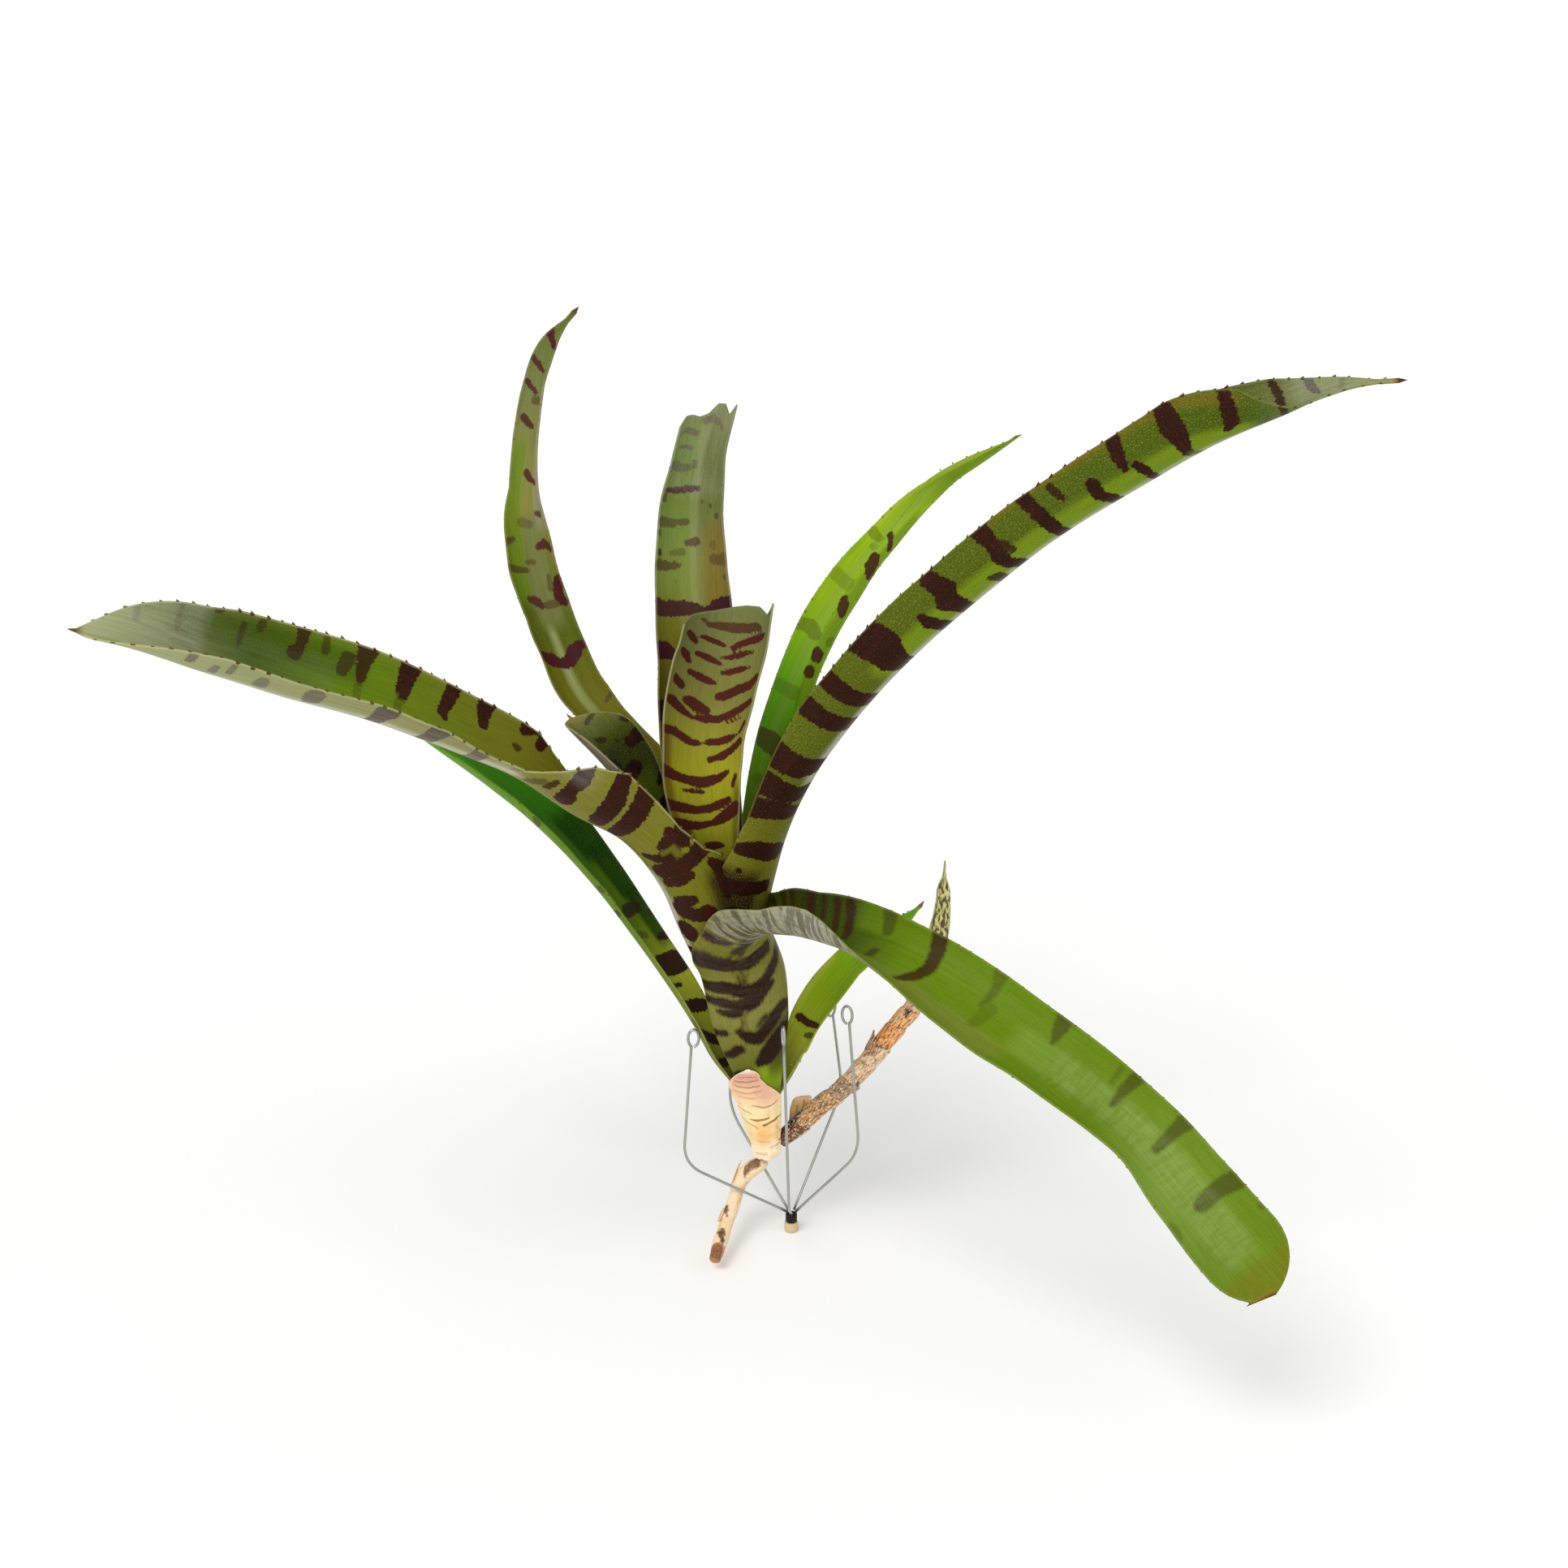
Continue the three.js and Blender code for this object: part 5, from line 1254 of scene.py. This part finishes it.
# The creeping stems: each one's route with its radius, its nodes' distances along it and the
# colour after each node. A mark is the distance, turn and half width where it starts, the
# same where it ends, its colour and its cover. A free scale is the distance, turn and half
# width where it starts, the distance and turn of its tip, how far the tip lifts, its colour
# and how dark its edge is.
runner = {
    "node": "runner", "seed": 43, "turn": 5.2, "bias": 1.5, "flare": 0.17,
    "route": [
        [-4.2, 3, 38.5, 3.2], [3, 3, 45.5, 3.9], [11, 2, 54, 3.8], [20.5, 1, 63, 3.8],
        [32, 3, 76, 4], [41, 6, 87, 3.8], [49, 8, 97, 3.6], [54, 10, 109, 3.3],
    ],
    "nodes": [0, 11.5, 30, 38.5, 48, 57, 67, 75, 85, 94],
    "grounds": [
        "744824", "bc9058", "b4966a", "e0b88c", "e6c094", "ec9c4c", "f0b068", "e4b890", "c89468",
    ],
    # the near-white marks (f0cfa4, f0c8a8, f2dcc4, f4e0cc) are partly the runner's own pale skin
    # and partly painted highlights
    "marks": [
        [7, 3.3, 3.2, 14.5, 3.2, 1.8, "2a1208", 0.95], [6, 5.9, 1.4, 30, 5.6, 1, "f0cfa4", 0.85],
        [37.5, 5.6, 1.2, 40.5, 5.2, 0.6, "3a2012", 0.9],
        [56.4, 3.2, 0.8, 57.2, 5.8, 0.9, "4a1c14", 0.9], [56, 3.8, 1.2, 58, 5, 1, "5a2818", 0.8],
        [73, 4.3, 1, 76, 4.3, 0.8, "3a1c10", 0.95], [69, 3.8, 0.8, 73, 3.8, 0.7, "f0c8a8", 0.7],
        [41, 4.2, 0.8, 47, 4.4, 0.4, "f2dcc4", 0.6], [62, 4.9, 1.2, 68, 4.8, 0.6, "f0b070", 0.6],
        [49, 4.6, 0.7, 53, 4.2, 0.5, "f4e0cc", 0.6], [20, 4.2, 0.5, 28, 4.7, 0.4, "6a4424", 0.8],
        [18, 4.8, 0.4, 24, 5.2, 0.4, "5e3a1c", 0.7],
    ],
    "scales": [
        [39.5, 5.4, 2.6, 31.5, 3.5, 0.5, "9c8464", 0.6],
        [52, 3.9, 2.4, 60.5, 3, 1.6, "b48860", 0.5],
    ],
    "look": {
        "pale": "f3e0cc", "dark": "3e2010", "fibre": "62401f", "fibres": 0.8, "flecks": 0.75,
        "seams": 0.85, "tip": "2e180c", "rough": 0.05,
    },
}
stub = {
    "node": "old_runner_stub", "seed": 47, "turn": 3.2, "bias": 1.8, "flare": 0.1,
    "route": [
        [-10.7, 2.4, 29.6, 2.1], [-12.2, 2.6, 28.2, 2.7], [-14.7, 2.8, 27, 3.2],
        [-17.5, 3.2, 24, 3.2], [-20.4, 2, 19.8, 2.8], [-22.9, -4.3, 14.8, 2.7],
        [-26, -15, 10.2, 2.8], [-28.5, -25, 6.6, 2.7], [-29.7, -31, 5.2, 2.2],
    ],
    "nodes": [0, 10, 31, 46, 52],
    "grounds": ["f3d9b2", "f4dcb8", "f1d4aa", "c89468"],
    "marks": [
        [3, 2.7, 2.6, 10.5, 1.9, 0.3, "6a3c18", 0.9], [27, 3, 1.5, 31.5, 2.2, 0.3, "5e3a20", 0.9],
        [39.5, 2.3, 1.7, 45.5, 1.6, 0.6, "4e2a14", 0.95], [48.5, 2.3, 3, 52, 2.3, 3, "7c4c2a", 0.9],
        [12, 1.2, 0.8, 24, 1.3, 0.8, "e8bc8c", 0.7], [33, 3, 0.5, 39, 2.6, 0.4, "e2b48c", 0.7],
    ],
    "scales": [
        [16, 3.6, 1.6, 7.5, 3.7, 1.4, "f6dfb8", 0.2], [34, 3.2, 1.2, 28, 2.9, 0.3, "e2bc90", 0.6],
    ],
    "look": {
        "pale": "fbeacc", "dark": "8a5a34", "fibre": "d8a678", "fibres": 0.4, "flecks": 0.4,
        "seams": 0.2, "tip": "6a4224",
    },
}


bark = {
    "pitch": 0.45, "sides": 44, "girth": 3.6, "drop": 0.7, "lumps": 0.018,
    "scaleRows": 26, "scaleColumns": 13, "scaleLift": 0.25, "scaleThickness": 0.4,
}


def barkSkin(name, look):
    made, start = material(name, {"Specular IOR Level": 0.25})
    place = start.attribute("place", 1)
    seam = start.attribute("seam")
    fibres = place.stretched(0.3, 1.5).noise(1, 4, 0.65)
    blots = place.stretched(0.4, 0.7).noise(1, 3, 0.55)
    flecks = place.stretched(0.7, 1.7).noise(1, 3, 0.6)
    skin = start.attribute("ground", 0).shaded(0.74 + blots * 0.3 + fibres * 0.22)
    worn = look.get("rough", 0)
    skin = skin.over(fibres.smooth(0.55 - worn, 0.62 - worn) * look["fibres"], look["fibre"])
    # the pale flecks are partly the bark's own and partly painted glints
    skin = skin.over(flecks.smooth(0.59 - worn, 0.66 - worn) * look["flecks"], look["pale"])
    line = (seam + (blots - 0.5) * 1.2).smooth(0.5, 0.15) * look["seams"]
    skin = skin.over(line, look["dark"])
    skin = skin.over(start.attribute("tip").smooth(0.78, 0.95) * 0.9, look["tip"])
    height = fibres + blots - flecks * 0.5
    return feed(made, colour=skin, roughness=0.55 + fibres * 0.3, height=(height, 0.7, 0.4))


def markedBark(spec, ground, at, around, thick, wobble):
    # the bark's ground with its marks laid over it, each along its own short path
    for start, turn, half, end, endTurn, endHalf, colour, cover in spec["marks"]:
        t = np.clip((at - start) / (end - start), 0, 1)
        apart = np.abs((around - turn - (endTurn - turn) * t + math.pi) % (2 * math.pi) - math.pi)
        past = np.abs(at - start - (end - start) * t)
        edge = half + (endHalf - half) * t - np.hypot(apart * thick, past)
        edge = edge + 0.35 * np.sin(at * 1.9 + wobble) * np.sin(around * 5)
        edge = np.clip(edge / 0.7 + 0.5, 0, 1)[:, None]
        ground = ground + (toneOf(colour) - ground) * edge * cover
    return ground


def makeCreepingStem(spec):
    route = np.array(spec["route"], float)
    distances = distancesAlong(route)
    marks = np.append(np.arange(0, distances[-1], bark["pitch"]), distances[-1])
    rows = smoothRow(route, distances, marks)
    sides, girth = bark["sides"], bark["girth"]
    turns = np.arange(sides) * 2 * math.pi / sides
    draw = np.random.default_rng(spec["seed"])
    wobble = draw.uniform(0, 6.3, 4)
    tilt = np.cos(turns - spec["turn"]) + 0.3 * np.sin(3 * turns + wobble[0])
    along = marks[:, None] - spec["bias"] * tilt[None, :]
    nodes = np.array(spec["nodes"], float)
    index = np.clip(np.searchsorted(nodes, along, side="right") - 1, 0, len(nodes) - 2)
    share = np.clip((along - nodes[index]) / (nodes[index + 1] - nodes[index]), 0, 1)
    drop = np.clip((nodes[index + 1] - along) / bark["drop"], 0, 1)
    swell = 1 + spec["flare"] * (share * 0.8 - 0.3) * drop
    lumps = np.sin(5 * turns + wobble[1] + marks[:, None] * 0.3)
    lumps = lumps + np.sin(3 * turns + wobble[2] - marks[:, None] * 0.55)
    radius = rows[:, 3:4] * swell * (1 + bark["lumps"] * lumps)
    first, second = barFrames(rows[:, :3])

    def onBark(distance, turn, lift):
        # a place on the bark at a distance and a turn, lifted off it
        centre, one, two = (
            np.stack([np.interp(distance, marks, part[:, i]) for i in range(3)], axis=-1)
            for part in (rows[:, :3], first, second)
        )
        out = one * np.cos(turn)[..., None] + two * np.sin(turn)[..., None]
        thick = np.interp(distance, marks, rows[:, 3]) + lift
        return centre + unit(out) * thick[..., None]

    at, around = (part.ravel() for part in np.broadcast_arrays(marks[:, None], turns[None, :]))
    ground = np.array([toneOf(colour) for colour in spec["grounds"]])[index.ravel()]
    ground = markedBark(spec, ground, at, around, np.repeat(rows[:, 3], sides), wobble[3])
    points = [barGrid(rows[:, :3], radius, sides).reshape(-1, 3)]
    faces = barFaces(len(marks), sides)
    values = {"seam": [np.abs(nodes[index + 1] - along).ravel()], "tip": [at * 0]}
    grounds, places = [ground], [np.stack([at, around * girth], axis=-1)]
    total = len(at)
    across = np.linspace(-1, 1, bark["scaleColumns"])
    for start, turn, half, end, endTurn, lift, colour, dark in spec["scales"]:
        # a thin pointed scale that lies on the bark and lifts at its tip
        t = np.linspace(0, 1, bark["scaleRows"])[:, None]
        wide = half * np.sin(math.pi * (0.22 + 0.78 * t)) ** 0.7 * across
        distance = start + (end - start) * t + across * 0
        middle = turn + (endTurn - turn) * t
        for side in (0, bark["scaleThickness"]):
            off = bark["scaleLift"] + side + lift * t**2 + 0.2 * across**2
            points.append(onBark(distance, middle + wide / girth, off).reshape(-1, 3))
        count = distance.size
        fronts = total + np.arange(count).reshape(distance.shape)
        # its first side faces the bark, so the shell's faces are turned over
        faces += [[a, *rest[::-1]] for a, *rest in shellFaces(fronts, fronts + count)]
        rim = np.maximum(np.abs(across) ** 3, t**3) * dark + across * 0
        values["tip"] += [rim.ravel() * 1.3] * 2
        values["seam"] += [np.full(count, 3.0)] * 2
        grounds += [np.tile(toneOf(colour), (count, 1))] * 2
        places += [np.stack([distance.ravel(), (wide + middle * girth).ravel()], axis=-1)] * 2
        total += 2 * count
    place = np.column_stack([np.concatenate(places), np.full(total, spec["seed"] * 3.0)])
    piece = buildMesh(
        spec["node"] + "_bark", np.concatenate(points), faces,
        barkSkin(spec["node"] + "_skin", spec["look"]),
        {key: np.concatenate(parts) for key, parts in values.items()},
        {"place": place}, {"ground": np.concatenate(grounds)},
    )
    return settle(piece, spec["node"])


makeCreepingStem(runner)
makeCreepingStem(stub)
print("runner and stub made")

# the young plant on the runner: its leaves are still rolled into one spindle
pup = {
    "node": "pup", "sides": 48, "stations": 90, "fold": 0.1, "twist": 34, "girth": 3.4,
    "secondFold": 0.05, "secondTwist": 61, "secondStart": 0.4,
    "route": [
        [54.3, 10.2, 109.9, 3.1], [55, 10.7, 114, 3.7], [56, 11, 119, 4], [57.3, 11, 127, 4],
        [58.2, 10.6, 137, 3], [58.4, 10.3, 145.5, 2], [58.5, 10.2, 147.5, 1.2],
        [58.6, 10, 155, 0.3],
    ],
    "look": {"ground": "b9b468", "pale": "dedc9c", "dark": "33200f"},
}


def pupSkin(look):
    made, start = material("pup_skin", {"Specular IOR Level": 0.5})
    place = start.attribute("place", 1)
    marble = place.stretched(0.32, 0.75).noise(1, 4, 0.6)
    veins = place.stretched(0.04, 1.6).noise(1, 2)
    skin = start.colour(look["ground"]).shaded(0.8 + veins * 0.4)
    skin = skin.over(marble.smooth(0.49, 0.53) * 0.92, look["dark"])
    skin = skin.over(marble.smooth(0.44, 0.36) * 0.7, look["pale"])
    skin = skin.over(start.attribute("rim").smooth(0.05, 0.015) * 0.7, look["pale"])
    return feed(made, colour=skin, roughness=0.42 + veins * 0.2, height=(veins, 0.4, 0.3))


def makePup():
    route = np.array(pup["route"], float)
    distances = distancesAlong(route)
    marks = np.linspace(0, distances[-1], pup["stations"])
    rows = smoothRow(route, distances, marks)
    sides = pup["sides"]
    turns = np.arange(sides) * 2 * math.pi / sides
    share = turns[None, :] / (2 * math.pi)
    roll = (share + marks[:, None] / pup["twist"]) % 1
    second = (share - marks[:, None] / pup["secondTwist"] + pup["secondStart"]) % 1
    fold = 1 - pup["fold"] * (1 - roll) ** 3 - pup["secondFold"] * (1 - second) ** 4
    grid = barGrid(rows[:, :3], rows[:, 3:4] * fold, sides)
    rim = np.where(roll < 0.5, roll, 1 - roll).ravel()
    place = [np.repeat(marks, sides), np.tile(turns, len(marks)) * pup["girth"], rim * 0]
    piece = buildMesh(
        "pup_spindle", grid.reshape(-1, 3), barFaces(len(marks), sides), pupSkin(pup["look"]),
        {"rim": rim}, {"place": np.stack(place, axis=-1)},
    )
    return settle(piece, pup["node"])


makePup()

claw = {
    "footRadius": 2.75, "footHeight": 3.8, "collarRadius": 2.3, "collarHeight": 3.4,
    "seatGap": 0.3, "wireRadius": 0.55, "wireCircle": 1.6, "bendLength": 9, "bendSteps": 18,
    "eyeWidth": 4.2, "eyeHeight": 7.3, "eyeStart": -65, "eyeTurn": 332, "eyeSteps": 44,
    "armSteps": 8, "legSteps": 12, "sides": 12, "turnedSides": 64, "edge": 0.35,
    "wireGirth": 0.45, "turnedGirth": 2.6,
    "roundingSteps": 6, "wireColour": "aeb0a8", "collarColour": "2e2a22",
    "collarPaleMottle": "8a7a5a", "footColour": "cdb48c", "footGrain": "8e6f4a",
}
prongs = {
    "left": [[-42.5, -7, 33.5], [-38.8, -4.2, 83.4]],
    "right": [[26.5, -12, 41], [22, -12, 97]],
    "front": [[-1, -33, 28], [-3, -33, 98]],
    "back_right": [[20.5, 23, 51], [16.5, 23, 84]],
    "back_left": [[-25, 24, 42], [-23, 17.9, 90]],
}


def wireSkin():
    made, start = material("drawn_steel", {"Metallic": 1.0})
    place = start.attribute("place", 1)
    drawn = place.stretched(0.08, 1.4).noise(1, 3, 0.6)
    dull = place.stretched(0.15, 0.3).noise(1, 2)
    skin = start.colour(claw["wireColour"]).shaded(0.5 + drawn * 0.8)
    rough = 0.2 + drawn * 0.12 + dull * 0.14
    return feed(made, colour=skin, roughness=rough, height=(drawn, 0.2, 0.1))


def prongPlaces(bend, top):
    corner, end = np.array(bend, float), np.array(top, float)
    reach = unit(np.array([corner[0], corner[1], 0]))
    start = reach * claw["wireCircle"]
    start[2] = claw["footHeight"] + claw["collarHeight"] + 2 * claw["seatGap"] + claw["wireRadius"]
    before = corner - unit(corner - start) * claw["bendLength"]
    after = corner + unit(end - corner) * claw["bendLength"]
    t = np.linspace(0, 1, claw["bendSteps"] + 1)[:, None]
    bendCurve = (1 - t) ** 2 * before + 2 * t * (1 - t) * corner + t * t * after
    inward = unit(np.array([tubeFoot[0] - end[0], tubeFoot[1] - end[1], 0]))
    upward = np.array([0, 0, 1.0])
    startAngle = math.radians(claw["eyeStart"])
    wide, high = claw["eyeWidth"] / 2, claw["eyeHeight"] / 2
    middle = end + inward * wide * math.cos(startAngle) - upward * high * math.sin(startAngle)
    angles = startAngle + math.radians(claw["eyeTurn"]) * np.linspace(0, 1, claw["eyeSteps"] + 1)
    eye = middle - np.outer(np.cos(angles), inward) * wide + np.outer(np.sin(angles), upward) * high
    leg = after + (end - after) * np.linspace(0, 1, claw["legSteps"])[1:-1, None]
    arm = start + (before - start) * np.linspace(0, 1, claw["armSteps"])[:-1, None]
    return np.concatenate([arm, bendCurve, leg, eye])


steel = wireSkin()
for name, (bend, top) in prongs.items():
    places = prongPlaces(bend, top)
    grid = barGrid(places, np.full(len(places), claw["wireRadius"]), claw["sides"])
    run = np.repeat(distancesAlong(places), claw["sides"])
    turns = np.tile(np.arange(claw["sides"]) * claw["wireGirth"], len(places))
    place = np.stack([run, turns, np.full(run.size, bend[0])], axis=-1)
    wire = buildMesh(
        f"wire_{name}", grid.reshape(-1, 3), barFaces(len(places), claw["sides"]), steel,
        None, {"place": place},
    )
    settle(wire, f"holder_wire_{name}")


def turnedPiece(name, node, profile, finish):
    # a profile of radius and height turned round the claw's axis
    sides = claw["turnedSides"]
    turns = np.arange(sides) * 2 * math.pi / sides
    rings = [[r * np.cos(turns), r * np.sin(turns), np.full(sides, h)] for r, h in profile]
    points = np.concatenate([np.stack(ring, axis=-1) for ring in rings])
    around = np.tile(turns * claw["turnedGirth"], len(profile))
    place = np.stack([points[:, 2], around, points[:, 2] * 0], axis=-1)
    piece = buildMesh(name, points, barFaces(len(profile), sides), finish, None, {"place": place})
    return settle(piece, node)


def rounded(radius, low, high, edge):
    # a cylinder's profile with rounded edges
    turns = np.linspace(0, math.pi / 2, claw["roundingSteps"])
    bottom = [[radius - edge + edge * math.sin(a), low + edge - edge * math.cos(a)] for a in turns]
    top = [[radius - edge + edge * math.cos(a), high - edge + edge * math.sin(a)] for a in turns]
    return [[radius * 0.5, low], *bottom, *top, [radius * 0.5, high]]


def collarSkin():
    made, start = material("blackened_collar", {"Metallic": 1.0})
    mottle = start.attribute("place", 1).stretched(2.2, 0.8).noise(1, 4, 0.6)
    skin = start.colour(claw["collarColour"]).shaded(0.6 + mottle * 0.8)
    # a paler mottle laid over the dark collar
    skin = skin.over(mottle.smooth(0.6, 0.7) * 0.4, claw["collarPaleMottle"])
    return feed(made, colour=skin, roughness=0.3 + mottle * 0.3, height=(mottle, 0.3, 0.15))


def footSkin():
    made, start = material("pale_turned_foot", {"Specular IOR Level": 0.4})
    grain = start.attribute("place", 1).stretched(0.6, 2.4).noise(1, 4, 0.6)
    skin = start.colour(claw["footColour"]).shaded(0.75 + grain * 0.5)
    skin = skin.over(grain.smooth(0.58, 0.7) * 0.5, claw["footGrain"])
    return feed(made, colour=skin, roughness=0.5 + grain * 0.2, height=(grain, 0.4, 0.2))


collarLow = claw["footHeight"] + claw["seatGap"]
collarTop = collarLow + claw["collarHeight"]
collarProfile = rounded(claw["collarRadius"], collarLow, collarTop, claw["edge"])
turnedPiece("collar_ring", "holder_collar", collarProfile, collarSkin())
footProfile = rounded(claw["footRadius"], 0, claw["footHeight"], claw["edge"])
turnedPiece("foot_peg", "holder_foot", footProfile, footSkin())

# the stem is hidden in the tube, so its CAD mesh only gets a finish
stem = {"colour": "c9b98a", "noiseScale": 300}
stemSkin, start = material("hidden_stem", {"Specular IOR Level": 0.3})
rough = start.node("ShaderNodeTexCoord", None, None, 3).noise(stem["noiseScale"], 3)
stemColour = start.colour(stem["colour"]).shaded(0.8 + rough * 0.4)
feed(stemSkin, colour=stemColour, roughness=0.6 + rough * 0.3)
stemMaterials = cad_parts["stem"].data.materials
stemMaterials.clear()
stemMaterials.append(stemSkin)
print("pup, claw and stem made")

studio = {
    "floor": "f8f8f7", "floorSize": 60, "floorDrop": 0.0002, "lampHeight": 1.5,
    "world": "ffffff", "worldPower": 0.62,
}

floorSkin, start = material("pale_floor", {"Roughness": 0.9, "Specular IOR Level": 0.1})
soft = start.node("ShaderNodeTexCoord", None, None, 3).noise(2, 2)
feed(floorSkin, colour=start.colour(studio["floor"]).shaded(0.985 + soft * 0.02))
size, drop = studio["floorSize"], -studio["floorDrop"]
floorMesh = bpy.data.meshes.new("floor")
corners = [(-size, -size, drop), (size, -size, drop), (size, size, drop), (-size, size, drop)]
floorMesh.from_pydata(corners, [], [[0, 1, 2, 3]])
floorMesh.materials.append(floorSkin)
floor = addToScene("floor", floorMesh)

# a broad soft key from the upper left, a weaker fill from the right and one from the front:
# what each shines along, its width in degrees and its strength
lights = {
    "key_soft": [(0.5, 0.55, -1.1), 35, 1.3],
    "fill_soft": [(-0.8, 0.4, -0.7), 50, 0.4],
    "front_soft": [(0.15, 1, -0.3), 50, 0.8],
}
for name, (along, wide, power) in lights.items():
    lamp = bpy.data.lights.new(name, "SUN")
    lamp.angle = math.radians(wide)
    lamp.energy = power
    holder = addToScene(name, lamp)
    holder.location = (0, 0, studio["lampHeight"])
    holder.rotation_euler = Vector(along).to_track_quat("-Z", "Y").to_euler()

world = bpy.data.worlds.new("studio")
world.use_nodes = True
background = world.node_tree.nodes["Background"]
background.inputs["Color"].default_value = (*linear(studio["world"]), 1)
background.inputs["Strength"].default_value = studio["worldPower"]
bpy.context.scene.world = world
bpy.context.scene.view_settings.view_transform = "Standard"

view = {"place": (-2.925, -840.503, 495.814), "pitch": 20, "lens": 55, "sensor": 36}
camera = bpy.data.cameras.new("photo_view")
camera.lens = view["lens"]
camera.sensor_width = view["sensor"]
camera.clip_start = 0.01
camera.clip_end = 50
eye = addToScene("photo_view", camera)
eye.location = Vector(view["place"]) * mm
eye.rotation_euler = (math.radians(90 - view["pitch"]), 0, 0)
bpy.context.scene.camera = eye
print("floor, lights and camera set")
